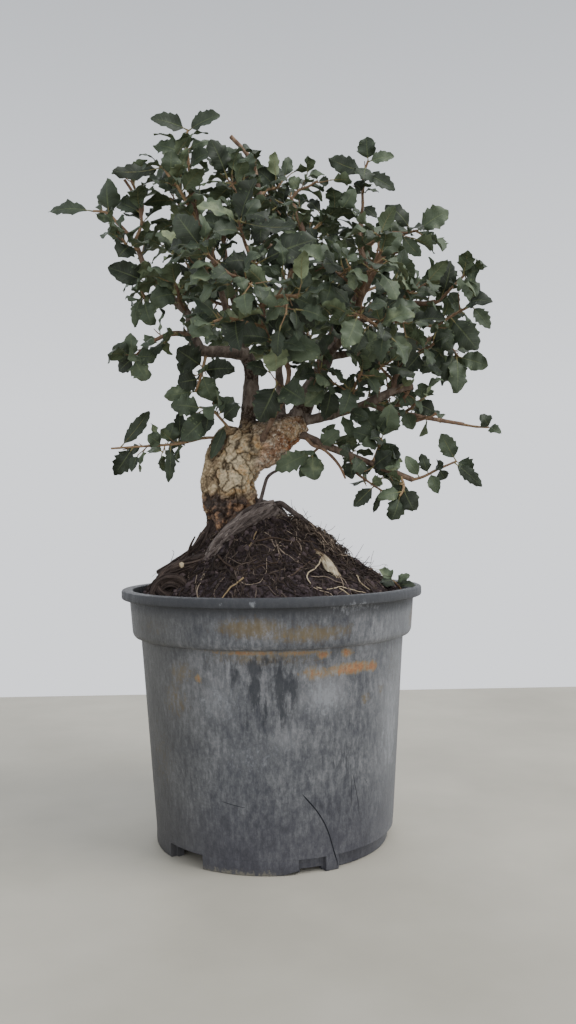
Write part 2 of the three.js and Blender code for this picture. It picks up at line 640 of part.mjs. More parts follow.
// A closed tube through [x, y, z, radius] points; relief(angle, point) scales its radius
function tube(path, sides, extra = 0, relief = () => 1) {
  const vertices = [];
  let [side, other] = [null, null];
  path.forEach((point, i) => {
    const before = path[Math.max(i - 1, 0)];
    const after = path[Math.min(i + 1, path.length - 1)];
    const direction = unit(subtract(after, before));
    if (side === null) {
      [side, other] = around(direction);
    } else {
      side = unit(subtract(side, scale(direction, dot(side, direction))));
      other = cross(side, direction);
    }
    for (let k = 0; k < sides; k += 1) {
      const angle = (2 * Math.PI * k) / sides;
      const reach = point[3] * relief(angle, point) + extra;
      const spoke = add(scale(side, Math.cos(angle)), scale(other, Math.sin(angle)));
      vertices.push(add(point, scale(spoke, reach)));
    }
  });
  const faces = [];
  const last = (path.length - 1) * sides;
  for (let k = 0; k < sides; k += 1) {
    const next = (k + 1) % sides;
    for (let ring = 0; ring < last; ring += sides) {
      faces.push([ring + k, ring + next, ring + sides + next]);
      faces.push([ring + k, ring + sides + next, ring + sides + k]);
    }
    if (k > 0 && next > 0) {
      faces.push([0, next, k]);
      faces.push([last, last + k, last + next]);
    }
  }
  return solid(vertices, faces);
}

// Stems
function stemLength(path) {
  let total = 0;
  for (let i = 1; i < path.length; i += 1) {
    total += size(subtract(path[i], path[i - 1]));
  }
  return total;
}

// The point and direction at a share of the way along a stem
function stemAt(path, share) {
  let left = share * stemLength(path);
  let i = 1;
  let step = subtract(path[1], path[0]);
  while (left > size(step) && i < path.length - 1) {
    left -= size(step);
    i += 1;
    step = subtract(path[i], path[i - 1]);
  }
  const point = add(path[i - 1], scale(step, Math.min(left / size(step), 1)));
  return { point, direction: unit(step) };
}

// The main stem of a forked spray with its side stems
function forkedStems(twig, order) {
  const stems = [{ path: twig, radius: FORK_RADIUS, leaves: STEM_LEAVES }];
  const reach = stemLength(twig) * FORK_SHARE;
  const turn = FORK_TURN[0] + FORK_TURN[1] * order;
  for (const [share, hand] of FORKS) {
    const { point, direction } = stemAt(twig, share);
    const [side, other] = around(direction);
    const spoke = add(scale(side, Math.cos(turn) * hand), scale(other, Math.sin(turn) * hand));
    const course = unit(add(scale(direction, FORK_SPREAD), spoke));
    const end = add(point, scale(unit(add(course, FORK_RISE)), reach));
    stems.push({ path: [point, end], radius: SIDE_STEM_RADIUS, leaves: FORK_LEAVES });
  }
  return stems;
}

// Leaves
function facingOf(direction, turn) {
  const angle = (turn * Math.PI) / 180;
  const guide = add(scale([0, 0, 1], Math.cos(angle)), scale([0, -1, 0], Math.sin(angle)));
  return subtract(guide, scale(direction, dot(guide, direction)));
}

function leafOf(base, tip, width, facing, arch, phase) {
  const span = subtract(tip, base);
  const length = size(span);
  const direction = unit(span);
  const normal = unit(subtract(facing, scale(direction, dot(facing, direction))));
  const side = cross(direction, normal);
  return { base, length, width, direction, normal, side, arch, phase };
}

// A leaf from its entry in the list of a spray
function givenLeaf(path, [share, x, y, z, width, turn, arch], phase) {
  const { point } = stemAt(path, share);
  const facing = facingOf(unit(subtract([x, y, z], point)), turn);
  return leafOf(point, [x, y, z], width, facing, arch, phase);
}

// Half the width of the blade at a share of its length, without its teeth
function halfWidth(leaf, along) {
  const u = (along - PETIOLE_SHARE) / (1 - PETIOLE_SHARE);
  return u <= 0 || u >= 1 ? 0 : WIDTH_FACTOR * leaf.width * u ** 0.6 * (1 - u) ** 0.75;
}

// A point of the blade's middle surface: `reach` is its distance from the midrib
function leafPoint(leaf, along, reach) {
  const lift = leaf.arch * 4 * along * (1 - along) * leaf.length
    + FOLD * Math.abs(reach)
    + WAVE * reach * Math.sin(WAVE_RATE * along + leaf.phase);
  const ahead = add(leaf.base, scale(leaf.direction, leaf.length * along));
  return add(ahead, add(scale(leaf.side, reach), scale(leaf.normal, lift)));
}

const LEAF_SAMPLES = [];
for (const along of [0.2, 0.36, 0.52, 0.68, 0.84, 0.98]) {
  for (const across of [-0.85, 0, 0.85]) LEAF_SAMPLES.push([along, across]);
}

// Samples from here on keep clear of the leaf's own twig too
const PAST_PETIOLE = 6;

function leafSamples(leaf) {
  return LEAF_SAMPLES.map(([along, across]) => (
    leafPoint(leaf, along, across * halfWidth(leaf, along))
  ));
}

// A toothed blade: flat above, with a keel below along the midrib, and with its petiole
// growing from a point inside the twig
function blade(leaf) {
  const vertices = [subtract(leaf.base, scale(leaf.direction, ROOT_DEPTH))];
  LEFT_EDGE.forEach(([leftAlong, leftTooth], i) => {
    const [rightAlong, rightTooth] = RIGHT_EDGE[i];
    const middle = leafPoint(leaf, (leftAlong + rightAlong) / 2, 0);
    vertices.push(leafPoint(leaf, leftAlong, -leftTooth * halfWidth(leaf, leftAlong)));
    vertices.push(leafPoint(leaf, rightAlong, rightTooth * halfWidth(leaf, rightAlong)));
    vertices.push(add(middle, scale(leaf.normal, -KEEL)));
  });
  vertices.push(leafPoint(leaf, 1, 0));
  const faces = [];
  const tip = vertices.length - 1;
  for (let edge = 0; edge < 3; edge += 1) {
    const beside = (edge + 1) % 3;
    faces.push([0, 1 + beside, 1 + edge]);
    for (let ring = 1; ring + 3 < tip; ring += 3) {
      faces.push([ring + edge, ring + beside, ring + 3 + edge]);
      faces.push([ring + beside, ring + 3 + beside, ring + 3 + edge]);
    }
    faces.push([tip - 3 + edge, tip - 3 + beside, tip]);
  }
  return solid(vertices, faces);
}

// True where a point seen from the front lies inside the crown, and not too far out in depth
function insideCrown([x, y, z]) {
  let inside = false;
  CROWN_OUTLINE.forEach(([x1, z1], i) => {
    const [x2, z2] = CROWN_OUTLINE[(i + 1) % CROWN_OUTLINE.length];
    if ((z1 > z) !== (z2 > z) && x < x1 + ((z - z1) / (z2 - z1)) * (x2 - x1)) inside = !inside;
  });
  const height = (z - CROWN_MIDDLE[2]) / CROWN_HALF_HEIGHT;
  const depth = CROWN_DEPTH * Math.sqrt(Math.max(0, 1 - height * height));
  return inside && Math.abs(y) < depth;
}

// A leaf drawn at a share of a stem: it leans away from the stem at an angle that turns from
// leaf to leaf, droops a little, and faces up and out of the crown
function drawnLeaf(random, stem, share, turn, leafSize) {
  const { point, direction } = stemAt(stem.path, share);
  const [side, other] = around(direction);
  const angle = turn + between(random, TURN_SPREAD);
  const lean = between(random, share === 1 ? LAST_LEAF_LEAN : SIDE_LEAF_LEAN);
  const spoke = add(scale(side, Math.cos(angle)), scale(other, Math.sin(angle)));
  const course = add(scale(direction, Math.cos(lean)), scale(spoke, Math.sin(lean)));
  const leafDirection = unit(add(course, DROOP));
  const length = leafSize * between(random, LENGTH_RANGE);
  const width = length * between(random, WIDTH_RANGE);
  const outward = unit(subtract(point, CROWN_MIDDLE));
  const spin = FULL_TURN * random();
  const tilt = between(random, TILT_RANGE);
  const facing = add(
    add(MOSTLY_UP, scale(outward, OUTWARD_SHARE)),
    [tilt * Math.cos(spin), tilt * Math.sin(spin), between(random, LIFT_RANGE)],
  );
  const arch = between(random, ARCH_RANGE);
  const phase = FULL_TURN * random();
  const tip = add(point, scale(leafDirection, length));
  return leafOf(point, tip, width, facing, arch, phase);
}

// Room around leaves and stems, kept as sampled points with a radius and an owner
function stemSamples(path, radius) {
  const count = Math.max(2, Math.ceil(stemLength(path) / SAMPLE_STEP));
  const samples = [];
  for (let i = 0; i <= count; i += 1) {
    samples.push({ point: stemAt(path, i / count).point, radius });
  }
  return samples;
}

function limbSamples(path) {
  const samples = [];
  for (let i = 1; i < path.length; i += 1) {
    const steps = Math.ceil(size(subtract(path[i], path[i - 1])) / SAMPLE_STEP);
    for (let k = 0; k <= steps; k += 1) {
      const point = mix(path[i - 1], path[i], k / steps);
      const radius = path[i - 1][3] + (path[i][3] - path[i - 1][3]) * (k / steps);
      samples.push({ point, radius });
    }
  }
  return samples;
}

function hasRoom(samples, owner, taken) {
  for (const other of taken) {
    const own = other.owner === owner;
    const gap = other.stem ? other.radius + STEM_GAP : own ? OWN_LEAF_GAP : LEAF_GAP;
    for (let i = own && other.stem ? PAST_PETIOLE : 0; i < samples.length; i += 1) {
      const away = subtract(samples[i], other.point);
      if (dot(away, away) < gap * gap) return false;
    }
  }
  return true;
}

// Every spray as its stems and its leaves
function growSprays() {
  const random = seeded(SEED);
  const sprays = SPRAYS.map((entry) => ({
    name: `spray_${entry.name}`,
    stems: [{ path: entry.twig, radius: entry.radius, leaves: entry.fill }],
    size: entry.size,
    given: entry.leaves,
    leaves: [],
  }));
  FORKED_SPRAYS.forEach((entry, order) => {
    const stems = forkedStems(entry.twig, order);
    sprays.push({
      name: `spray_${entry.name}`,
      stems,
      size: FORK_LEAF_SIZE,
      given: [],
      leaves: [],
    });
  });
  const taken = [];
  const keep = (samples, owner, stem) => samples.forEach((sample) => {
    taken.push({ point: sample.point ?? sample, radius: sample.radius ?? 0, owner, stem });
  });
  for (const path of Object.values(LIMBS)) keep(limbSamples(path), "wood", true);
  for (const spray of sprays) {
    for (const stem of spray.stems) keep(stemSamples(stem.path, stem.radius), spray.name, true);
  }
  for (const spray of sprays) {
    for (const entry of spray.given) {
      const leaf = givenLeaf(spray.stems[0].path, entry, FULL_TURN * random());
      keep(leafSamples(leaf), spray.name, false);
      spray.leaves.push(leaf);
    }
  }
  for (const spray of sprays) {
    spray.stems.forEach((stem, order) => {
      for (let i = 0; i < stem.leaves; i += 1) {
        const along = FIRST_LEAF_SHARE + (LEAFY_SHARE * (i + 0.5)) / stem.leaves;
        const share = i === 0 && spray.given.length === 0 ? 1 : along;
        for (let draw = 0; draw < DRAWS; draw += 1) {
          const turn = GOLDEN_TURN * (i + 3 * order) + DRAW_TURN * draw;
          const leaf = drawnLeaf(random, stem, share, turn, spray.size);
          const samples = leafSamples(leaf);
          if (!insideCrown(samples[samples.length - 2])) continue;
          if (!hasRoom(samples, spray.name, taken)) continue;
          keep(samples, spray.name, false);
          spray.leaves.push(leaf);
          break;
        }
      }
    });
  }
  return sprays;
}

function taperedStem(stem) {
  const last = stem.path.length - 1;
  return stem.path.map((point, i) => [...point, stem.radius * (1 - (STEM_TAPER * i) / last)]);
}

// One spray in one body: its stems, and its leaves sunk into them, cut clear of the limbs
function spraySolid(spray, woodRoom) {
  const stems = spray.stems.map((stem) => tube(taperedStem(stem), STEM_SIDES));
  const blades = spray.leaves.map(blade);
  const whole = joined([...stems, ...blades]);
  return largestBody(woodRoom === null ? whole : whole.subtract(woodRoom));
}

// Wood: the trunk with its corky relief, the limbs and the roots, grown as one piece
function corkRelief(angle, [x, , z]) {
  const broad = Math.sin(3 * angle + z / 8);
  const fine = Math.sin(5 * angle - z / 5 + x / 9);
  return 1 + CORK_RELIEF * (broad + fine);
}

function woodSolid(extra) {
  const pieces = [];
  for (const [name, path] of Object.entries(LIMBS)) {
    const thick = name === "trunk" || name === "arm";
    const sides = thick ? TRUNK_SIDES : LIMB_SIDES;
    pieces.push(tube(path, sides, extra, thick ? corkRelief : undefined));
  }
  for (const path of Object.values(ROOTS)) pieces.push(tube(path, LIMB_SIDES, extra));
  return joined(pieces);
}

// Soil: the filling of the pot and the mound on it
function mound(ring) {
  const [radius, z] = MOUND[ring];
  return { radius, z, shift: MOUND_SHIFT * (1 - radius / COLLAR_TOP_RADIUS), ring };
}

function innerRadius(z) {
  const share = (z - FOOT_HEIGHT) / (COLLAR_BOTTOM - FOOT_HEIGHT);
  return BASE_RADIUS - WALL + (BODY_TOP_RADIUS - BASE_RADIUS) * Math.min(share, 1);
}

function grain(angle, ring) {
  return GRAIN * (Math.sin(5 * angle + 2.1 * ring) + Math.sin(9 * angle - 1.3 * ring)) / 2;
}

function soilSolid() {
  const floor = FLOOR_TOP + SOIL_GAP;
  const collarRadius = COLLAR_LOW_RADIUS - WALL - SOIL_GAP;
  const rings = [
    ...MOUND.map((_, ring) => mound(ring)),
    { radius: collarRadius, z: SOIL_EDGE, shift: 0, ring: null },
    { radius: collarRadius, z: COLLAR_BOTTOM + 2 * WALL, shift: 0, ring: null },
    { radius: innerRadius(COLLAR_BOTTOM) - SOIL_GAP, z: COLLAR_BOTTOM, shift: 0, ring: null },
    { radius: innerRadius(floor) - SOIL_GAP, z: floor, shift: 0, ring: null },
  ];
  const vertices = [[MOUND_SHIFT, 0, MOUND_TOP]];
  for (const { radius, z, shift, ring } of rings) {
    for (let k = 0; k < SOIL_SEGMENTS; k += 1) {
      const angle = (2 * Math.PI * k) / SOIL_SEGMENTS;
      const lift = ring === null ? 0 : grain(angle, ring);
      vertices.push([shift + radius * Math.cos(angle), radius * Math.sin(angle), z + lift]);
    }
  }
  vertices.push([0, 0, floor]);
  const bottom = vertices.length - 1;
  const faces = [];
  for (let k = 0; k < SOIL_SEGMENTS; k += 1) {
    const next = (k + 1) % SOIL_SEGMENTS;
    faces.push([0, 1 + k, 1 + next]);
    for (let ring = 0; ring < rings.length - 1; ring += 1) {
      const upper = 1 + ring * SOIL_SEGMENTS;
      const lower = upper + SOIL_SEGMENTS;
      faces.push([upper + k, lower + k, lower + next], [upper + k, lower + next, upper + next]);
    }
    const low = 1 + (rings.length - 1) * SOIL_SEGMENTS;
    faces.push([bottom, low + next, low + k]);
  }
  return solid(vertices, faces);
}

// Pot
function potBody() {
  const profile = [
    [0, FLOOR_UNDER],
    [FOOT_RADIUS - FOOT_WIDTH, FLOOR_UNDER],
    [FOOT_RADIUS - FOOT_WIDTH, 0],
    [FOOT_RADIUS, 0],
    [FOOT_RADIUS, FOOT_HEIGHT],
    [BASE_RADIUS, FOOT_HEIGHT],
    [BODY_TOP_RADIUS, COLLAR_BOTTOM],
    [COLLAR_LOW_RADIUS - STEP_INSET, COLLAR_BOTTOM + EDGE_CHAMFER],
    [COLLAR_LOW_RADIUS, COLLAR_BOTTOM + STEP_HEIGHT],
    [COLLAR_TOP_RADIUS, RIM_TOP - LIP_HEIGHT],
    [RIM_RADIUS, RIM_TOP - LIP_HEIGHT],
    [RIM_RADIUS, RIM_TOP - EDGE_CHAMFER],
    [RIM_RADIUS - EDGE_CHAMFER, RIM_TOP],
    [COLLAR_TOP_RADIUS - WALL, RIM_TOP],
    [COLLAR_LOW_RADIUS - WALL, COLLAR_BOTTOM + WALL],
    [innerRadius(COLLAR_BOTTOM), COLLAR_BOTTOM - EDGE_CHAMFER],
    [innerRadius(FLOOR_TOP), FLOOR_TOP],
    [0, FLOOR_TOP],
  ];
  const outline = profile.map(([radius, height]) => new THREE.Vector2(radius, height));
  const lathe = new THREE.LatheGeometry(outline, POT_SEGMENTS);
  lathe.rotateX(Math.PI / 2);
  return solidOf(lathe);
}

// A ring sector between two angles, measured from the front towards the right
function ringSector(inner, outer, [from, to], height) {
  const start = THREE.MathUtils.degToRad(from - 90);
  const end = THREE.MathUtils.degToRad(to - 90);
  const shape = new THREE.Shape();
  shape.absarc(0, 0, outer, start, end, false);
  shape.absarc(0, 0, inner, end, start, true);
  const settings = { depth: height, bevelEnabled: false, curveSegments: SECTOR_SEGMENTS };
  return solidOf(new THREE.ExtrudeGeometry(shape, settings));
}

function potSolid() {
  const innerFoot = FOOT_RADIUS - FOOT_WIDTH;
  let pot = potBody();
  for (const span of FOOT_SPANS) {
    pot = pot.add(ringSector(FOOT_RADIUS - 1, BASE_RADIUS, span, FOOT_HEIGHT + 0.5));
  }
  for (const span of DRAIN_SPANS) {
    const cutter = ringSector(innerFoot - CUT_MARGIN, BASE_RADIUS + CUT_MARGIN, span, FOOT_HEIGHT);
    pot = pot.subtract(cutter.translate([0, 0, -CUT_MARGIN]));
  }
  return pot;
}

// Materials
function finish(color, roughness) {
  return new THREE.MeshStandardMaterial({ color, roughness, metalness: 0 });
}

const potMaterial = finish(0x666c75, 0.62);
const soilMaterial = finish(0x2c211b, 1);
const woodMaterial = finish(0x8d765a, 0.92);
const leafMaterial = finish(0x35513a, 0.5);

// The whole tree in its pot
const group = new THREE.Group();
const wood = woodSolid(0);
const woodRoom = woodSolid(PIECE_GAP);
const sprays = growSprays();
const shoot = {
  name: SHOOT.name,
  stems: [{ path: SHOOT.twig, radius: SHOOT.radius }],
  leaves: SHOOT.leaves.map((entry, i) => givenLeaf(SHOOT.twig, entry, i)),
};
const shootHole = SHOOT.twig.map((point) => [...point, SHOOT.radius]);
const shootRoom = tube(shootHole, HOLE_SIDES, PIECE_GAP);
const soil = largestBody(soilSolid().subtract(woodRoom).subtract(shootRoom));

group.add(meshOf("pot", potSolid(), potMaterial));
group.add(meshOf("soil", soil, soilMaterial));
group.add(meshOf("trunk_and_limbs", wood, woodMaterial));
for (const spray of sprays) {
  group.add(meshOf(spray.name, spraySolid(spray, woodRoom), leafMaterial));
}
group.add(meshOf(shoot.name, spraySolid(shoot, null), leafMaterial));

export default group;
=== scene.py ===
"""The looks of a cork oak bonsai in its grey nursery pot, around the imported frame.

Lengths here are millimetres in the row frame, and MM turns them into metres where a mesh is
made. The tree's limbs, twigs and leaves stand where its solids have them: the same paths and
the same seeded rule give both.
"""

from itertools import combinations
import math

import bpy
import numpy as np
from mathutils import Euler, Matrix, Vector, noise


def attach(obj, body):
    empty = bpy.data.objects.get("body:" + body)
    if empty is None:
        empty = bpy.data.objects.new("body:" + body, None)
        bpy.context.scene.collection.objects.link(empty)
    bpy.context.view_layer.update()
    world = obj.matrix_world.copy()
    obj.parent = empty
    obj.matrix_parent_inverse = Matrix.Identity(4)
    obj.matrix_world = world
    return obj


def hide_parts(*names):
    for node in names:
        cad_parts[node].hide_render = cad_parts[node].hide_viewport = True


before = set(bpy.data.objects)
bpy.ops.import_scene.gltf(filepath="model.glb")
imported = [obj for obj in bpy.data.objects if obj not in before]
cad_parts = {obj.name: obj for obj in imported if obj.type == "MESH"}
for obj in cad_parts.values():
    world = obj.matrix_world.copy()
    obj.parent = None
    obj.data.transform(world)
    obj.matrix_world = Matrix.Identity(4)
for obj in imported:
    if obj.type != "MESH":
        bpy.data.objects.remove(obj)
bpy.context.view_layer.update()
MM = 0.001
# Without a seed of its own, the vector noise would change from run to run
NOISE_SEED = 47
noise.seed_set(NOISE_SEED)

# Camera: place in millimetres, turns in degrees, lens and the sensor's long side
CAMERA_PLACE = (0, -587.25, 199.98)
CAMERA_PITCH = 0.435
CAMERA_ROLL = -0.848
CAMERA_YAW = -1.092
CAMERA_LENS = 32.1
CAMERA_SENSOR = 36

# Pot
RIM_RADIUS = 95
RIM_TOP = 157.2
COLLAR_TOP_RADIUS = 90
COLLAR_LOW_RADIUS = 88.4
COLLAR_BOTTOM = 127.5
BODY_TOP_RADIUS = 83.1
BASE_RADIUS = 75
FOOT_RADIUS = 71.4
FOOT_HEIGHT = 8.5
FOOT_WIDTH = 4.4
WALL = 2
FLOOR_UNDER = 6.5
FLOOR_TOP = 9.5
FOOT_SPANS = [(-104, -56), (-34, 10), (22.5, 28.8), (96, 142), (176, 222)]
DRAIN_SPANS = [(11, 21.5), (-54.5, -35.5)]
DRAIN_TOPS = [2.4, 6.4]

# Soil: distance from the middle of the mound and height there
MOUND = [(0, 202), (20, 199), (37, 188.5), (47, 179), (60, 169), (74, 160)]
MOUND_SHIFT = -8
SOIL_EDGE = 149
SOIL_RADIUS = 85.9

# Trunk, limbs and twigs that stay bare: each point is x, y, z and the radius there
LIMBS = {
    "trunk": [
        (-23, 0, 166, 15), (-24, 0, 184, 16), (-25, 0, 199, 16.5), (-26, 0, 215, 17),
        (-26, 0, 227, 17.3), (-22, 0, 240, 18), (-19, 0, 251, 16.5), (-17, 0, 257, 11.5),
    ],
    "arm": [
        (-23, 0, 237, 13), (-11, -1, 245, 15), (-2, -2, 250, 14.6), (7, -2, 255, 12.3),
        (15, -2, 259, 9.6), (21, -2, 263, 7.5),
    ],
    "limb_a": [
        (15, -2, 258, 7.5), (21, -2, 269, 6.4), (26, 0, 281, 5.8), (32, 2, 292, 5.3),
        (37, 4, 303, 5), (42, 7, 316, 4.4), (47, 9, 330, 3.9), (51, 10, 343, 3.4),
    ],
    "limb_b": [(17, -4, 261, 3.4), (55, -8, 270, 2.7), (79, -12, 280, 2.7), (91, -14, 283, 2.2)],
    "limb_b2": [(79, -12, 280, 1.9), (80, -14, 289, 1.7), (87, -17, 298, 1.6), (97, -20, 304, 1.4)],
    "limb_b3": [
        (62, -9, 273, 1.8), (74, -4, 269, 1.6), (86, 0, 267, 1.6), (98, 3, 265, 1.5),
        (110, 5, 263, 1.4), (127, 6, 260, 1.2),
    ],
    "limb_c": [
        (17, -4, 255, 3), (26, -8, 251, 2.5), (44, -14, 242, 2.2), (72, -22, 230, 1.9),
        (88, -26, 223, 1.8),
    ],
    "limb_d": [
        (-15, 0, 256, 5), (-13, 0, 270, 5), (-11, -1, 294, 4.6), (-14, -2, 304, 4.2),
        (-22, -4, 307, 3.9), (-39, -8, 307, 3.7), (-44, -9, 309, 3.6), (-47, -9, 315, 3.4),
        (-49, -8, 324, 3), (-52, -6, 333, 2.6), (-71, 0, 352, 2.1), (-78, 2, 361, 1.9),
        (-83, 4, 375, 1.6), (-89, 5, 385, 1.4), (-97, 5, 394, 1.2),
    ],
    "limb_d2": [
        (-46, -9, 312, 2), (-52, -12, 317, 1.8), (-62, -14, 317, 1.5), (-75, -15, 311, 1.3),
    ],
    "limb_e": [
        (-6, -12, 247, 2.8), (-2, -20, 254, 2.2), (3, -30, 263, 2), (8, -38, 272, 1.9),
        (12, -49, 287, 1.8), (5, -57, 301, 1.7), (-2, -60, 311, 1.6), (-3, -62, 323, 1.5),
        (-9, -60, 349, 1.3), (-12, -57, 359, 1.1),
    ],
    "limb_f": [
        (51, 10, 340, 3), (51, 6, 350, 2.6), (46, 0, 357, 2.4), (31, -10, 368, 2.1),
        (25, -12, 377, 1.9), (16, -12, 402, 1.3),
    ],
    "limb_g": [
        (29, -10, 370, 1.9), (20, -14, 371, 1.9), (3, -14, 371, 1.9), (-1, -12, 379, 1.9),
        (-3, -9, 399, 1.9), (-7, -6, 422, 1.7), (-12, -5, 434, 1.5), (-22, -5, 445, 1.4),
    ],
    "limb_h": [
        (-21, -4, 307, 2.8), (-25, -2, 327, 2.5), (-29, 0, 346, 2.3), (-38, 2, 381, 1.9),
        (-44, 0, 393, 1.7), (-47, -4, 408, 1.4), (-48, -5, 417, 1.2),
    ],
    "limb_i": [(50, 10, 339, 2.6), (64, 6, 354, 2), (61, 6, 379, 1.7), (62, 6, 397, 1.5)],
    "limb_j": [
        (47, 9, 327, 2.6), (63, 0, 328, 2.1), (89, -6, 336, 1.7), (100, -8, 336, 1.5),
        (107, -9, 337, 1.3),
    ],
    "limb_k": [
        (38, 5, 305, 2.8), (51, 12, 308, 2.4), (70, 20, 312, 2.1), (105, 26, 319, 1.6),
        (116, 26, 323, 1.4),
    ],
    "limb_l": [
        (-11, 0, 291, 3), (-15, 18, 311, 2.7), (-20, 36, 338, 2.4), (-27, 50, 367, 2),
        (-30, 54, 393, 1.7), (-32, 52, 414, 1.3),
    ],
    "limb_m": [
        (31, 2, 289, 3.4), (41, 24, 312, 2.9), (53, 44, 336, 2.5), (65, 56, 361, 2.1),
        (72, 58, 384, 1.7), (74, 55, 402, 1.3),
    ],
    "limb_n": [
        (8, 2, 259, 3.6), (8, 18, 279, 3), (7, 36, 305, 2.6), (9, 52, 336, 2.2), (15, 60, 366, 1.8),
        (19, 58, 390, 1.4),
    ],
    "limb_p": [
        (38, 4, 305, 2.6), (45, -18, 310, 2.2), (51, -38, 318, 1.9), (54, -54, 328, 1.6),
        (56, -62, 337, 1.3),
    ],
}

# Roots that show above the soil, in the same form
ROOTS = {
    "shoulder": [(-22, 4, 205, 11), (-4, 0, 205, 7.5), (5, 0, 200, 6.5), (14, -6, 180, 4)],
    "oblique": [
        (2, -6, 208, 4), (-5, -13, 204, 6.5), (-15, -19, 198, 7.5), (-29, -27, 186, 6.2),
        (-39, -37, 174, 3.5),
    ],
    "left_flare": [(-31, -4, 200, 9), (-39, -8, 191, 6), (-50, -12, 179, 3.4), (-73, 0, 167, 1.8)],
    "coil": [
        (-32, -30, 182, 4), (-43, -32, 179, 4.2), (-55, -35, 177, 4.6), (-65, -40, 171, 5),
        (-68, -46, 163, 4.8), (-63, -50, 157, 4.4), (-55, -50, 156, 3.6),
    ],
    "arching": [
        (1, -4, 208, 2.4), (6, -4, 210, 2), (12, -5, 206, 1.8), (26, -8, 195, 1.7),
        (41, -10, 182, 1.5), (51, -14, 166, 1.2),
    ],
    "upright": [
        (-9, -10, 205, 1.8), (-6, -10, 213, 1.3), (-4, -9, 220, 1.2), (-2, -8, 226, 1.1),
        (1, -7, 229, 1), (5, -6, 231, 0.8),
    ],
    "pale": [
        (7, -8, 192, 4), (17, -20, 186, 3.2), (27, -30, 181, 3), (35, -38, 177, 3.6),
        (34, -44, 170, 3.8), (30, -49, 162, 3),
    ],
    "back_a": [(-20, 14, 200, 8), (-16, 34, 186, 5), (-10, 60, 161, 2.8)],
    "back_c": [(-6, 8, 203, 6), (17, 30, 184, 3.8), (35, 50, 161, 2.4)],
}

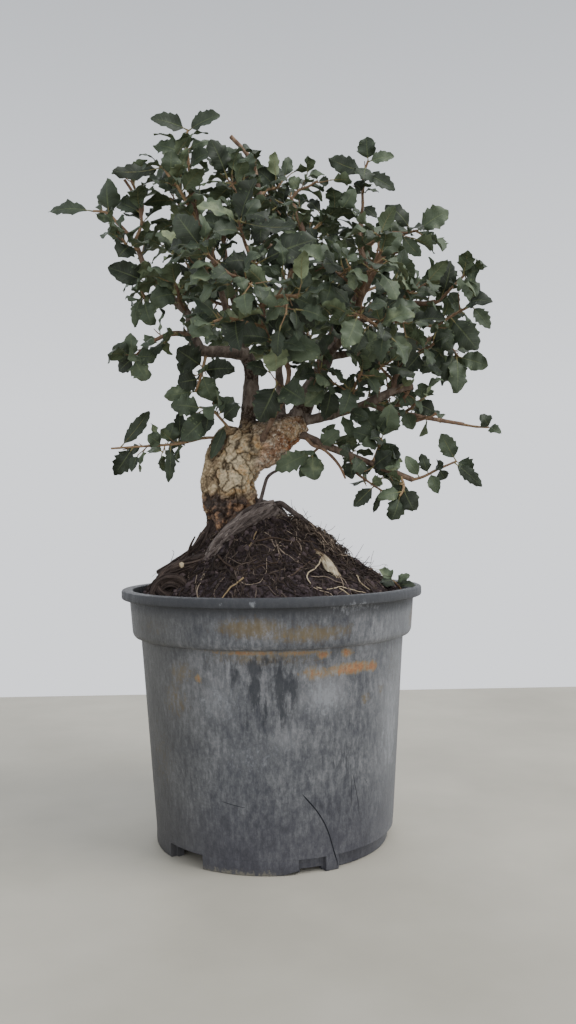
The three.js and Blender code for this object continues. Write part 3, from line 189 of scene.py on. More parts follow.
# Leafy sprays: the twig's radius, how many leaves the rule adds and their size, the twig's
# points and the leaves that the front shows. Such a leaf is the share of the twig where it
# grows, the place of its tip, its width, the turn of its face from up towards the front in
# degrees, and its arch.
SPRAYS = {
    "top_left": (1.1, 3, 19, [(-48, -5, 415), (-49, -8, 429), (-50, -8, 441), (-49, -8, 448)], [
        (1, -72, -14, 453, 12, 60, 0.08), (0.98, -28, -14, 455, 12, 55, 0.06),
        (0.5, -72, -2, 441, 13, 50, 0.1), (0.62, -33, -4, 443, 10, 40, 0.1),
        (0.3, -34, -24, 427, 12, 70, 0.1),
    ]),
    "upper_left": (1.1, 5, 19, [
        (-45, 0, 394), (-51, -10, 403), (-56, -16, 410), (-61, -18, 416), (-64, -18, 421),
    ], [
        (1, -95, -22, 417, 11, 55, -0.1), (0.8, -58, -24, 429, 12, 60, 0.1),
    ]),
    "left_tip": (1.1, 3, 17, [(-97, 5, 394), (-103, 6, 400), (-108, 8, 402), (-113, 10, 403)], [
        (1, -145, 20, 406, 11, 50, 0.08), (0.35, -102, 0, 421, 16, 75, 0.06),
        (0.55, -106, 6, 394, 12, 70, 0.1),
    ]),
    "left_stub": (1.1, 4, 18, [(-86, 4, 380), (-81, 6, 394), (-83, 4, 410), (-87, 2, 420)], [
        (0.5, -97, 10, 409, 12, 60, 0.1),
    ]),
    "left_dark": (1, 4, 18, [(-83, 4, 375), (-88, -4, 375), (-91, -8, 378), (-94, -10, 383)], [
        (0.45, -93, -16, 365, 15, 70, 0.1), (1, -97, -14, 378, 10, 60, 0.1),
    ]),
    "left_mid": (1, 2, 17, [(-75, 1, 357), (-78, -4, 351), (-80, -6, 347), (-78, -8, 341)], [
        (0.3, -101, -8, 361, 15, 70, 0.1), (0.8, -85, -6, 323, 7, 25, 0.15),
        (1, -73, -12, 323, 13, 80, 0.1),
    ]),
    "left_cluster": (1, 1, 14, [(-74, -15, 311), (-79, -16, 307), (-84, -17, 302)], [
        (1, -96, -22, 308, 12, 70, 0.1), (0.95, -85, -20, 317, 11, 75, 0.1),
        (0.9, -69, -22, 301, 11, 75, 0.1), (1, -94, -14, 294, 10, 70, 0.1),
        (1, -75, -22, 287, 13, 75, 0.1), (0.1, -73, -10, 317, 9, 40, 0.1),
    ]),
    "left_inner": (1.1, 5, 20, [
        (-52, -6, 333), (-55, -20, 337), (-55, -28, 342), (-59, -30, 349),
    ], [
        (0.6, -71, -34, 334, 15, 60, 0.1),
    ]),
    "left_low_big": (1.1, 2, 17, [
        (-39, -8, 307), (-42, -12, 293), (-44, -13, 286), (-46, -13, 281),
    ], [
        (0.4, -57, -18, 307, 17, 75, 0.08), (0.5, -21, -20, 294, 14, 65, 0.1),
        (0.55, -35, -10, 275, 14, 80, 0.1), (0.7, -57, -16, 286, 14, 75, 0.1),
        (1, -66, -14, 278, 11, 75, 0.06),
    ]),
    "left_low": (1, 1, 16, [(-25, -11, 257), (-30, -14, 263), (-35, -15, 268), (-41, -15, 270)], [
        (1, -61, -20, 272, 13, 65, 0.08), (0.35, -19, -24, 271, 12, 55, 0.1),
        (0.75, -55, -15, 250, 15, 75, 0.1), (0.85, -40, -20, 254, 8, 80, 0.1),
        (0.2, -37, -16, 238, 7, 60, 0.15),
    ]),
    "lower_left": (1, 0, 16, [
        (-30, -7, 252), (-41, -9, 252), (-54, -10, 249), (-63, -10, 248), (-82, -10, 247),
        (-100, -10, 246),
    ], [
        (0.92, -75, -14, 269, 9, 65, -0.12), (0.8, -98, -12, 229, 12, 75, 0.08),
        (0.55, -76, -16, 254, 10, 70, 0.1), (0.5, -60, -12, 262, 10, 75, 0.1),
        (0.4, -57, -6, 269, 8, 60, 0.1), (0.47, -64, -10, 224, 7, 70, 0.1),
    ]),
    "top_cut": (1.1, 5, 20, [(-7, -6, 422), (-12, -14, 416), (-17, -20, 411), (-23, -22, 406)], [
        (0.4, -27, -16, 434, 12, 60, 0.1),
    ]),
    "top_mid": (1.1, 4, 18, [(-3, -8, 406), (1, -4, 411), (7, -2, 413), (12, -2, 419)], [
        (0.6, -5, -4, 424, 11, 60, 0.1), (1, 15, -2, 433, 8, 80, 0.08),
    ]),
    "top_small": (1, 4, 16, [(16, -12, 402), (21, -11, 408), (27, -9, 411), (33, -8, 415)], [
        (1, 30, -8, 422, 6, 60, 0.15), (1, 40, -8, 413, 7, 60, 0.1),
        (0.4, 15, -14, 415, 9, 60, 0.1),
    ]),
    "top_back": (1.1, 5, 20, [(25, -12, 377), (33, -6, 387), (42, -2, 395), (50, 0, 401)], [
        (1, 56, 2, 406, 9, 60, 0.1),
    ]),
    "top_right": (1.1, 2, 16, [
        (62, 6, 396), (63, 6, 404), (63, 6, 414), (64, 6, 424), (67, 6, 433),
    ], [
        (1, 66, 4, 448, 13, 75, 0.06), (0.98, 84, 4, 435, 9, 60, 0.1),
        (0.8, 41, 8, 436, 12, 70, -0.1), (0.76, 84, 2, 412, 10, 65, 0.12),
        (0.45, 57, 2, 417, 10, 70, 0.1), (0.2, 72, 4, 395, 7, 60, 0.1),
    ]),
    "right_bright": (1.1, 3, 18, [
        (62, 6, 375), (71, 2, 380), (80, 0, 384), (89, -2, 383), (97, -4, 384),
    ], [
        (1, 116, -10, 395, 15, 60, 0.06), (0.9, 77, 0, 402, 11, 50, 0.2),
        (0.98, 110, -2, 376, 7, 60, 0.1), (0.72, 98, -8, 366, 9, 60, -0.1),
        (0.42, 85, 4, 393, 9, 60, 0.1),
    ]),
    "right_stub": (1.4, 3, 18, [(64, 6, 354), (70, 0, 362), (76, -4, 372)], [
        (0.5, 85, -8, 357, 12, 60, 0.1), (0.2, 79, -10, 346, 13, 60, 0.1),
    ]),
    "right_outer_top": (1.1, 2, 17, [
        (100, -8, 336), (107, -9, 336), (117, -12, 345), (126, -13, 354), (130, -13, 358),
    ], [
        (0.3, 116, -16, 361, 14, 75, 0.08), (0.8, 133, -20, 354, 14, 75, 0.08),
        (0.82, 130, -16, 333, 9, 75, 0.1), (0.45, 121, -8, 335, 9, 70, 0.1),
    ]),
    "right_outer_mid": (1.1, 3, 18, [
        (89, -6, 336), (95, -14, 325), (103, -18, 319), (111, -20, 323), (120, -21, 328),
        (127, -22, 331),
    ], [
        (1, 138, -24, 316, 9, 65, 0.1), (0.98, 128, -24, 343, 8, 70, 0.1),
        (0.72, 130, -24, 303, 16, 75, 0.1), (0.5, 114, -22, 304, 14, 75, 0.1),
    ]),
    "right_low": (1.1, 2, 17, [(116, 26, 323), (120, 22, 316), (123, 18, 311), (126, 16, 306)], [
        (1, 145, 12, 299, 13, 70, 0.08), (0.75, 116, 14, 289, 12, 75, 0.08),
        (0.9, 124, 12, 281, 14, 75, 0.06), (0.4, 101, 12, 295, 14, 70, 0.1),
    ]),
    "limb_b_top": (1, 4, 16, [(95, -20, 303), (99, -24, 305), (103, -27, 307)], [
        (0.1, 83, -24, 289, 12, 70, 0.1), (0.8, 110, -34, 310, 11, 60, 0.1),
    ]),
    "thin_end": (0.9, 0, 14, [(126, 6, 260), (134, 2, 258), (141, -3, 257)], [
        (1, 135, -6, 265, 9, 60, 0.25), (1, 146, -13, 252, 7, 65, 0.15),
    ]),
    "thin_mid": (1, 1, 14, [(86, 0, 267), (91, -6, 270), (94, -8, 273), (96, -9, 274)], [
        (1, 97, -12, 285, 12, 75, 0.08), (0.8, 105, -10, 266, 11, 60, 0.1),
        (0.6, 85, -8, 280, 12, 70, 0.1), (0.2, 92, -4, 256, 10, 70, 0.1),
    ]),
    "limb_c_end": (1, 0, 14, [(88, -26, 223), (95, -26, 225), (103, -26, 229), (115, -26, 234)], [
        (1, 105, -30, 251, 11, 70, -0.1), (1, 125, -26, 228, 11, 70, 0.1),
        (0.95, 130, -30, 218, 8, 65, 0.1), (0.6, 108, -24, 223, 8, 70, 0.15),
        (0.35, 93, -28, 239, 7, 60, 0.1), (0.15, 84, -24, 238, 8, 60, 0.1),
        (0.5, 106, -32, 233, 8, 40, 0.1), (0.4, 103, -30, 214, 8, 70, 0.1),
    ]),
    "limb_c_low": (1, 1, 15, [(80, -24, 227), (82, -28, 220), (81, -30, 216), (79, -31, 213)], [
        (0.65, 87, -34, 204, 13, 75, 0.08), (1, 74, -30, 198, 12, 75, 0.08),
        (0.8, 65, -36, 212, 9, 50, 0.1), (0.3, 78, -20, 211, 12, 70, 0.1),
    ]),
    "low_mid": (0.9, 1, 12, [
        (50, -16, 239), (53, -20, 229), (60, -22, 223), (67, -23, 218), (73, -24, 214),
    ], [
        (0.72, 51, -26, 207, 9, 65, -0.12), (0.85, 64, -20, 203, 4, 60, 0.06),
        (0.08, 51, -22, 224, 11, 75, 0.06), (0.35, 63, -24, 231, 6, 50, 0.1),
    ]),
    "limb_c_up": (1.1, 1, 16, [(64, -20, 234), (67, -18, 241), (70, -17, 249)], [
        (1, 57, -14, 269, 13, 70, 0.06), (1, 78, -22, 230, 15, 75, 0.08),
        (1, 75, -26, 270, 14, 75, 0.08), (0.95, 51, -20, 254, 12, 70, 0.1),
        (0.25, 72, -18, 226, 9, 60, 0.1),
    ]),
    "under_arm": (1, 1, 15, [(33, -10, 247), (30, -11, 244), (27, -11, 241)], [
        (1, 28, -14, 224, 15, 80, 0.06), (0.85, 3, -8, 231, 12, 60, 0.1),
        (0.95, 19, -8, 226, 8, 70, 0.1), (0.3, 44, -16, 255, 10, 60, 0.15),
    ]),
    "front_pair": (1.1, 0, 20, [(10, -43, 278), (7, -48, 279), (5, -52, 280)], [
        (1, -6, -58, 257, 17, 75, 0.06), (0.5, 21, -58, 268, 17, 70, 0.08),
    ]),
    "front_mid": (1.1, 2, 22, [(5, -57, 301), (5, -64, 300), (3, -71, 301)], [
        (0.5, 29, -78, 292, 18, 55, 0.08), (1, 4, -80, 282, 15, -50, 0.1),
        (1, -19, -82, 301, 14, 45, 0.1),
    ]),
    "front_left": (1.2, 4, 22, [
        (-2, -60, 311), (-12, -72, 311), (-22, -80, 312), (-30, -85, 309),
    ], [
        (0.6, -15, -95, 291, 15, 55, 0.1), (1, -42, -92, 301, 14, 50, 0.1),
    ]),
    "front_leaf": (1.1, 3, 22, [(-9, -60, 346), (-7, -65, 346), (-5, -68, 346)], [
        (1, 29, -76, 357, 19, 60, 0.08), (0.8, -23, -78, 344, 14, 50, 0.1),
    ]),
    "front_top": (1.1, 3, 22, [(-12, -57, 359), (-14, -62, 364), (-16, -66, 371)], [
        (1, 17, -76, 365, 14, 30, -0.08), (0.9, -39, -76, 376, 13, 35, 0.1),
        (0.5, -30, -80, 360, 14, 50, 0.1),
    ]),
}

# Forked sprays inside, before and behind the crown
FORKED_SPRAYS = {
    "inner_h1": [(-30, 0, 351), (-35, -20, 350), (-41, -38, 358)],
    "inner_h2": [(-41, 1, 387), (-48, 18, 394), (-60, 36, 409)],
    "inner_g1": [(-2, -11, 388), (-8, -26, 389), (-17, -40, 394)],
    "inner_g2": [(15, -15, 371), (17, 6, 385), (13, 30, 405)],
    "inner_i1": [(58, 7, 347), (68, 24, 353), (84, 42, 363)],
    "inner_j1": [(76, -4, 332), (78, -24, 332), (85, -44, 336)],
    "inner_a1": [(37, 4, 303), (30, -20, 305), (19, -42, 314)],
    "inner_b1": [(53, -8, 269), (52, -24, 278), (56, -40, 288)],
    "inner_k1": [(70, 20, 312), (75, 32, 304), (86, 44, 295)],
    "front_p1": [(53, -46, 322), (57, -64, 314), (64, -82, 304)],
    "front_p2": [(55, -60, 334), (59, -70, 341), (64, -80, 349)],
    "front_p3": [(55, -57, 330), (46, -70, 334), (35, -84, 338)],
    "front_e1": [(-3, -62, 323), (6, -75, 325), (17, -88, 322)],
    "front_e2": [(-5, -62, 336), (-15, -77, 335), (-27, -90, 336)],
    "back_l1": [(-22, 39, 345), (-36, 50, 352), (-55, 58, 363)],
    "back_l2": [(-27, 51, 373), (-40, 58, 385), (-57, 62, 399)],
    "back_l3": [(-31, 54, 398), (-28, 54, 412), (-18, 50, 428)],
    "back_m1": [(59, 50, 349), (73, 66, 350), (95, 78, 350)],
    "back_m2": [(70, 58, 379), (80, 54, 384), (93, 46, 385)],
    "back_n1": [(8, 48, 326), (-3, 66, 334), (-19, 84, 345)],
    "back_n2": [(12, 57, 353), (24, 72, 361), (38, 86, 376)],
    "back_n3": [(18, 58, 385), (17, 58, 402), (11, 46, 416)],
}

# The small shoot by the rim, whose leaves are in the same form
SHOOT = {
    "radius": 0.9,
    "twig": [[82, -20, 144], [81, -20, 153], [78, -22, 158], [75, -24, 161]],
    "leaves": [
        [1, 66, -27, 168, 8, 60, 0.1], [0.85, 85, -25, 165, 6, 60, 0.1],
        [0.9, 67, -36, 161, 8, 50, 0.1], [0.75, 88, -31, 158, 6, 60, 0.1],
    ],
}

# The dense part of the crown as seen from the front, x and z
CROWN_OUTLINE = [
    [-99, 367], [-102, 397], [-108, 421], [-93, 429], [-73, 448], [-26, 450], [-2, 441], [22, 431],
    [51, 412], [71, 418], [96, 395], [99, 372], [137, 364], [140, 320], [142, 291], [110, 279],
    [105, 259], [92, 230], [90, 203], [51, 208], [19, 225], [0, 232], [20, 251], [20, 276], [-4, 277],
    [-19, 277], [-35, 242], [-64, 225], [-96, 233], [-70, 278], [-67, 287], [-98, 294], [-100, 316],
    [-69, 319], [-85, 329], [-102, 352],
]

# The rule that places leaves
PETIOLE_SHARE = 0.15
FOLD = 0.22
WAVE = 0.16
WAVE_RATE = 8
WIDTH_FACTOR = 1.264
LAST_LEAF_LEAN = (0.25, 0.55)
SIDE_LEAF_LEAN = (0.6, 1.25)
TURN_SPREAD = (-0.7, 0.7)
LENGTH_RANGE = (0.72, 1.22)
WIDTH_RANGE = (0.48, 0.64)
ARCH_RANGE = (0.04, 0.16)
TILT_RANGE = (0, 0.9)
LIFT_RANGE = (-0.15, 0.15)
DROOP = np.array([0, 0, -0.15])
MOSTLY_UP = np.array([0, -0.15, 0.6])
OUTWARD_SHARE = 0.4
FIRST_LEAF_SHARE = 0.3
LEAFY_SHARE = 0.68
FULL_TURN = 2 * math.pi
LEAF_GAP = 3.3
OWN_LEAF_GAP = 2.8
STEM_GAP = 2
SAMPLE_STEP = 3
PAST_PETIOLE = 6
CROWN_MIDDLE = np.array([0, 0, 345])
CROWN_DEPTH = 108
CROWN_HALF_HEIGHT = 130
GOLDEN_TURN = 2.39996
DRAW_TURN = 0.8
# Golden turns between the first leaves of a spray's stems
STEM_TURNS = 3
DRAWS = 14
SEED = 20611
FORK_RADIUS = 1.3
SIDE_STEM_RADIUS = 0.65
FORK_LEAF_SIZE = 20
FORKS = [(0.42, 1), (0.72, -1)]
FORK_SHARE = 0.6
FORK_SPREAD = 0.7
FORK_RISE = np.array([0, 0, 0.2])
FORK_TURN = (0.6, 1.7)
STEM_LEAVES = 2
FORK_LEAVES = 2
MASK = 0xFFFFFFFF
# The widest limb with its gap, and how many sampled points the room holds
WIDEST_GAP = 21
ROOM_POINTS = 60000


# Maths

def cross(a, b):
    return np.array([a[1] * b[2] - a[2] * b[1], a[2] * b[0] - a[0] * b[2], a[0] * b[1] - a[1] * b[0]])


def size(a):
    return math.sqrt(a[0] * a[0] + a[1] * a[1] + a[2] * a[2])


def unit(a):
    return a / size(a)


def smoothstep(low, high, value):
    share = np.clip((value - low) / (high - low), 0, 1)
    return share * share * (3 - 2 * share)


def seeded(seed):
    """A generator that draws the same numbers on every run."""
    state = seed

    def draw():
        nonlocal state
        state = (state + 0x6D2B79F5) & MASK
        value = (state ^ (state >> 15)) * (state | 1) & MASK
        value ^= (value + (value ^ (value >> 7)) * (value | 61)) & MASK
        return (value ^ (value >> 14)) / 4294967296

    return draw


def between(draw, span):
    return span[0] + (span[1] - span[0]) * draw()


def around(direction):
    """Two directions square to a direction and to each other."""
    guide = (0, 0, 1) if abs(direction[2]) < 0.9 else (1, 0, 0)
    side = unit(cross(direction, guide))
    return side, cross(side, direction)


# Stems

def stem_length(path):
    return sum(size(b - a) for a, b in zip(path, path[1:]))


def stem_at(path, share):
    """The point and direction at a share of the way along a stem."""
    left = share * stem_length(path)
    i = 1
    step = path[1] - path[0]
    while left > size(step) and i < len(path) - 1:
        left -= size(step)
        i += 1
        step = path[i] - path[i - 1]
    return path[i - 1] + step * min(left / size(step), 1), unit(step)


def forked_stems(twig, order):
    stems = [{"path": twig, "radius": FORK_RADIUS, "leaves": STEM_LEAVES}]
    turn = FORK_TURN[0] + FORK_TURN[1] * order
    for share, hand in FORKS:
        point, direction = stem_at(twig, share)
        side, other = around(direction)
        course = unit(direction * FORK_SPREAD + (side * math.cos(turn) + other * math.sin(turn)) * hand)
        end = point + unit(course + FORK_RISE) * (stem_length(twig) * FORK_SHARE)
        stems.append({"path": [point, end], "radius": SIDE_STEM_RADIUS, "leaves": FORK_LEAVES})
    return stems


# Leaves as they are placed

def facing_of(direction, turn):
    angle = math.radians(turn)
    guide = np.array([0, -math.sin(angle), math.cos(angle)])
    return guide - direction * (guide @ direction)


def leaf_of(base, tip, width, facing, arch, phase):
    direction = unit(tip - base)
    normal = unit(facing - direction * (facing @ direction))
    return {"base": base, "length": size(tip - base), "width": width, "direction": direction,
            "normal": normal, "side": cross(direction, normal), "arch": arch, "phase": phase}


def given_leaf(path, entry, phase):
    share, x, y, z, width, turn, arch = entry
    point = stem_at(path, share)[0]
    tip = np.array([x, y, z], float)
    return leaf_of(point, tip, width, facing_of(unit(tip - point), turn), arch, phase)


def half_width(leaf, along):
    u = np.clip((along - PETIOLE_SHARE) / (1 - PETIOLE_SHARE), 0, 1)
    return WIDTH_FACTOR * leaf["width"] * u ** 0.6 * (1 - u) ** 0.75


def leaf_points(leaf, along, reach):
    """Points of a blade's middle surface; reach is the distance from the midrib."""
    along, reach = np.asarray(along, float), np.asarray(reach, float)
    lift = (leaf["arch"] * 4 * along * (1 - along) * leaf["length"] + FOLD * np.abs(reach)
            + WAVE * reach * np.sin(WAVE_RATE * along + leaf["phase"]))
    return (leaf["base"] + (leaf["length"] * along)[..., None] * leaf["direction"]
            + reach[..., None] * leaf["side"] + lift[..., None] * leaf["normal"])


SAMPLE_ALONG = np.repeat([0.2, 0.36, 0.52, 0.68, 0.84, 0.98], 3)
SAMPLE_ACROSS = np.tile([-0.85, 0, 0.85], 6)


def leaf_samples(leaf):
    return leaf_points(leaf, SAMPLE_ALONG, SAMPLE_ACROSS * half_width(leaf, SAMPLE_ALONG))


def inside_crown(point):
    x, y, z = point
    inside = False
    for (x1, z1), (x2, z2) in zip(CROWN_OUTLINE, CROWN_OUTLINE[1:] + CROWN_OUTLINE[:1]):
        if (z1 > z) != (z2 > z) and x < x1 + (z - z1) / (z2 - z1) * (x2 - x1):
            inside = not inside
    height = (z - CROWN_MIDDLE[2]) / CROWN_HALF_HEIGHT
    return inside and abs(y) < CROWN_DEPTH * math.sqrt(max(0, 1 - height * height))


def drawn_leaf(draw, path, share, turn, leaf_size):
    point, direction = stem_at(path, share)
    side, other = around(direction)
    angle = turn + between(draw, TURN_SPREAD)
    lean = between(draw, LAST_LEAF_LEAN if share == 1 else SIDE_LEAF_LEAN)
    spoke = side * math.cos(angle) + other * math.sin(angle)
    course = direction * math.cos(lean) + spoke * math.sin(lean)
    leaf_direction = unit(course + DROOP)
    length = leaf_size * between(draw, LENGTH_RANGE)
    width = length * between(draw, WIDTH_RANGE)
    outward = unit(point - CROWN_MIDDLE)
    spin = FULL_TURN * draw()
    tilt = between(draw, TILT_RANGE)
    lift = between(draw, LIFT_RANGE)
    facing = MOSTLY_UP + outward * OUTWARD_SHARE
    facing = facing + np.array([tilt * math.cos(spin), tilt * math.sin(spin), lift])
    arch = between(draw, ARCH_RANGE)
    phase = FULL_TURN * draw()
    return leaf_of(point, point + leaf_direction * length, width, facing, arch, phase)


class Room:
    """Sampled points of what has grown, each with a radius and an owner."""

    def __init__(self):
        self.points = np.empty((ROOM_POINTS, 3))
        self.radius = np.empty(ROOM_POINTS)
        self.owner = np.empty(ROOM_POINTS, int)
        self.stem = np.empty(ROOM_POINTS, bool)
        self.count = 0

    def keep(self, points, owner, stem, radius=0):
        span = slice(self.count, self.count + len(points))
        self.points[span], self.radius[span] = points, radius
        self.owner[span], self.stem[span] = owner, stem
        self.count += len(points)

    def keep_stem(self, path, radius, owner):
        count = max(2, math.ceil(stem_length(path) / SAMPLE_STEP))
        self.keep([stem_at(path, i / count)[0] for i in range(count + 1)], owner, True, radius)

    def keep_limb(self, path, owner):
        for a, b in zip(path, path[1:]):
            steps = math.ceil(size(b[:3] - a[:3]) / SAMPLE_STEP)
            shares = np.arange(steps + 1)[:, None] / steps
            samples = a * (1 - shares) + b * shares
            self.keep(samples[:, :3], owner, True, samples[:, 3])

    def is_free(self, samples, owner, leaf_gap=LEAF_GAP, own_gap=OWN_LEAF_GAP, stem_gap=STEM_GAP):
        points = self.points[:self.count]
        low, high = samples.min(0) - WIDEST_GAP, samples.max(0) + WIDEST_GAP
        near = np.flatnonzero(((points > low) & (points < high)).all(1))
        own = self.owner[near] == owner
        gap = np.where(self.stem[near], self.radius[near] + stem_gap, np.where(own, own_gap, leaf_gap))
        away = ((samples[:, None, :] - points[near][None]) ** 2).sum(2) < gap * gap
        away[:PAST_PETIOLE, own & self.stem[near]] = False
        return not away.any()


def as_points(rows):
    return [np.array(row, float) for row in rows]


def planned_sprays():
    """Every spray of the solids with its stems, before any leaf grows."""
    sprays = []
    for name, (radius, fill, leaf_size, twig, given) in SPRAYS.items():
        stem = {"path": as_points(twig), "radius": radius, "leaves": fill}
        sprays.append({"name": name, "stems": [stem], "size": leaf_size, "given": given, "leaves": []})
    for order, (name, twig) in enumerate(FORKED_SPRAYS.items()):
        sprays.append({"name": name, "stems": forked_stems(as_points(twig), order),
                       "size": FORK_LEAF_SIZE, "given": [], "leaves": []})
    return sprays


def ruled_leaves(draw, room, spray, stem, order, owner):
    """The leaves that the rule finds room for on one stem of a spray."""
    found = []
    for i in range(stem["leaves"]):
        along = FIRST_LEAF_SHARE + (LEAFY_SHARE * (i + 0.5)) / stem["leaves"]
        share = 1 if i == 0 and not spray["given"] else along
        for attempt in range(DRAWS):
            turn = GOLDEN_TURN * (i + STEM_TURNS * order) + DRAW_TURN * attempt
            leaf = drawn_leaf(draw, stem["path"], share, turn, spray["size"])
            samples = leaf_samples(leaf)
            if inside_crown(samples[-2]) and room.is_free(samples, owner):
                room.keep(samples, owner, False)
                found.append(leaf)
                break
    return found


def grow_sprays(room):
    """Every spray of the solids as its stems and its leaves."""
    draw = seeded(SEED)
    sprays = planned_sprays()
    for path in LIMBS.values():
        room.keep_limb(np.array(path, float), -1)
    for owner, spray in enumerate(sprays):
        for stem in spray["stems"]:
            room.keep_stem(stem["path"], stem["radius"], owner)
    for owner, spray in enumerate(sprays):
        for entry in spray["given"]:
            leaf = given_leaf(spray["stems"][0]["path"], entry, FULL_TURN * draw())
            room.keep(leaf_samples(leaf), owner, False)
            spray["leaves"].append(turned_forward(leaf))
    for owner, spray in enumerate(sprays):
        for order, stem in enumerate(spray["stems"]):
            spray["leaves"].extend(ruled_leaves(draw, room, spray, stem, order, owner))
    return sprays


# Extra leaves on short shoots, which the solids leave out
SHOOT_SEED = 7411
SHOOT_LENGTH = (5, 11)
SHOOT_LEAN = (0.5, 1.3)
SHOOT_RISE = np.array([0, 0, 0.2])
SHOOT_SAG = np.array([0, 0, -0.4])
SHOOT_RADIUS = 0.42
SHOOT_SPACING = 5.3
SHOOT_OFFSET = 0.2
SHOOT_SHIFT = 0.7
SHOOT_TURN = 1.1
SHOOT_LEAF_SIZE = (13, 20)
SHOOT_DRAWS = 4
ROSETTE = 4
ROSETTE_STEP = 0.22
CLOSE_GAP = 1.9
CLOSE_STEM_GAP = 1.1
# Where the background shows through the crown, seen from the camera on the plane of the trunk:
# x, z and radius
OPENINGS = np.array([
    # Left side, from the top down
    (-90, 417, 4), (-86, 410, 4), (-22, 374, 7), (-36, 371, 5), (-72, 369, 4), (-89, 364, 3),
    (-59, 363, 6), (-63, 348, 6), (-28, 338, 5), (-78, 336, 6), (-61, 331, 4), (-96, 318, 3),
    (-68, 302, 4), (-23, 301, 3), (-33, 290, 9), (-48, 283, 6), (-57, 261, 5), (-84, 255, 5),
    (-33, 248, 8), (-98, 242, 5),
    # Top and middle
    (-1, 430, 3), (24, 416, 3), (34, 413, 4), (47, 412, 4), (-16, 378, 3), (4, 350, 3),
    # Right side
    (85, 400, 3), (72, 396, 7), (98, 396, 3), (93, 376, 4), (72, 372, 5), (111, 364, 3),
    (98, 361, 6), (71, 360, 3), (78, 355, 4), (68, 353, 3), (65, 347, 3), (61, 340, 3),
    (127, 340, 3), (138, 326, 4), (132, 318, 4), (134, 304, 4),
    # Low right
    (96, 292, 5), (76, 292, 3), (109, 276, 6), (61, 257, 4), (80, 249, 3), (104, 244, 6),
    (88, 232, 4), (68, 224, 3),
])
# The bare parts of limbs carry no shoots: share of the path where the shoots begin
SHOOTY_LIMBS = {
    "limb_d": 0.42, "limb_e": 0.4, "limb_f": 0.1, "limb_g": 0.15, "limb_h": 0.15, "limb_i": 0.15,
    "limb_j": 0.2, "limb_k": 0.25, "limb_l": 0.3, "limb_m": 0.3, "limb_n": 0.35, "limb_p": 0.2,
    "limb_b": 0.14, "limb_b2": 0.3, "limb_b3": 0.35, "limb_c": 0.2, "limb_d2": 0.2, "limb_a": 0.55,
}
# Shares of a spray's twig where its shoots begin and end
FIRST_SPRAY_SHOOT = 0.3
LAST_SPRAY_SHOOT = 0.99
# Share of a limb's path where its shoots end, and the same for the limbs with bare tips
LAST_SHOOT = 0.94
BARE_TIPS = {"limb_g": 0.78, "limb_b3": 0.8, "limb_d": 0.86}


def is_open(points):
    """Whether a leaf would stand in one of the openings as the camera sees it."""
    nearness = CAMERA_PLACE[1] / (CAMERA_PLACE[1] - points[:, 1])
    across = points[:, 0] * nearness
    height = CAMERA_PLACE[2] + (points[:, 2] - CAMERA_PLACE[2]) * nearness
    away = (across[:, None] - OPENINGS[:, 0]) ** 2 + (height[:, None] - OPENINGS[:, 1]) ** 2
    return (away < OPENINGS[:, 2] ** 2).any()


def shoot_course(draw, direction, turn):
    """A direction that leans away from a stem and rises a little."""
    side, other = around(direction)
    lean = between(draw, SHOOT_LEAN)
    spoke = side * math.cos(turn) + other * math.sin(turn)
    return unit(direction * math.cos(lean) + spoke * math.sin(lean) + SHOOT_RISE)


def rosette(draw, room, path, turn, owner):
    """The leaves near the end of a short shoot that have room and close no opening."""
    found = []
    for k in range(ROSETTE):
        leaf_size = between(draw, SHOOT_LEAF_SIZE)
        leaf = drawn_leaf(draw, path, 1 - ROSETTE_STEP * k, GOLDEN_TURN * k + turn, leaf_size)
        samples = leaf_samples(leaf)
        if not inside_crown(samples[-2]) or is_open(samples):
            continue
        if room.is_free(samples, owner, CLOSE_GAP, CLOSE_GAP, CLOSE_STEM_GAP):
            room.keep(samples, owner, False)
            found.append(leaf)
    return found


def grow_shoots(draw, room, path, owner, first_share, last_share):
    """Short leafy shoots along a stem, as (stems, leaves)."""
    stems, leaves = [], []
    span = last_share - first_share
    count = max(1, round(stem_length(path) * span / SHOOT_SPACING))
    for i in range(count):
        place = i + SHOOT_OFFSET + SHOOT_SHIFT * draw()
        point, direction = stem_at(path, first_share + span * place / count)
        for attempt in range(SHOOT_DRAWS):
            turn = GOLDEN_TURN * i + SHOOT_TURN * attempt + draw()
            end = point + shoot_course(draw, direction, turn) * between(draw, SHOOT_LENGTH)
            shoot = [point, (point + end) / 2 + SHOOT_SAG, end]
            found = rosette(draw, room, shoot, turn, owner)
            if found:
                stems.append({"path": shoot, "radius": SHOOT_RADIUS})
                leaves.extend(found)
                room.keep_stem([point, end], SHOOT_RADIUS, owner)
                break
    return stems, leaves


# Meshes

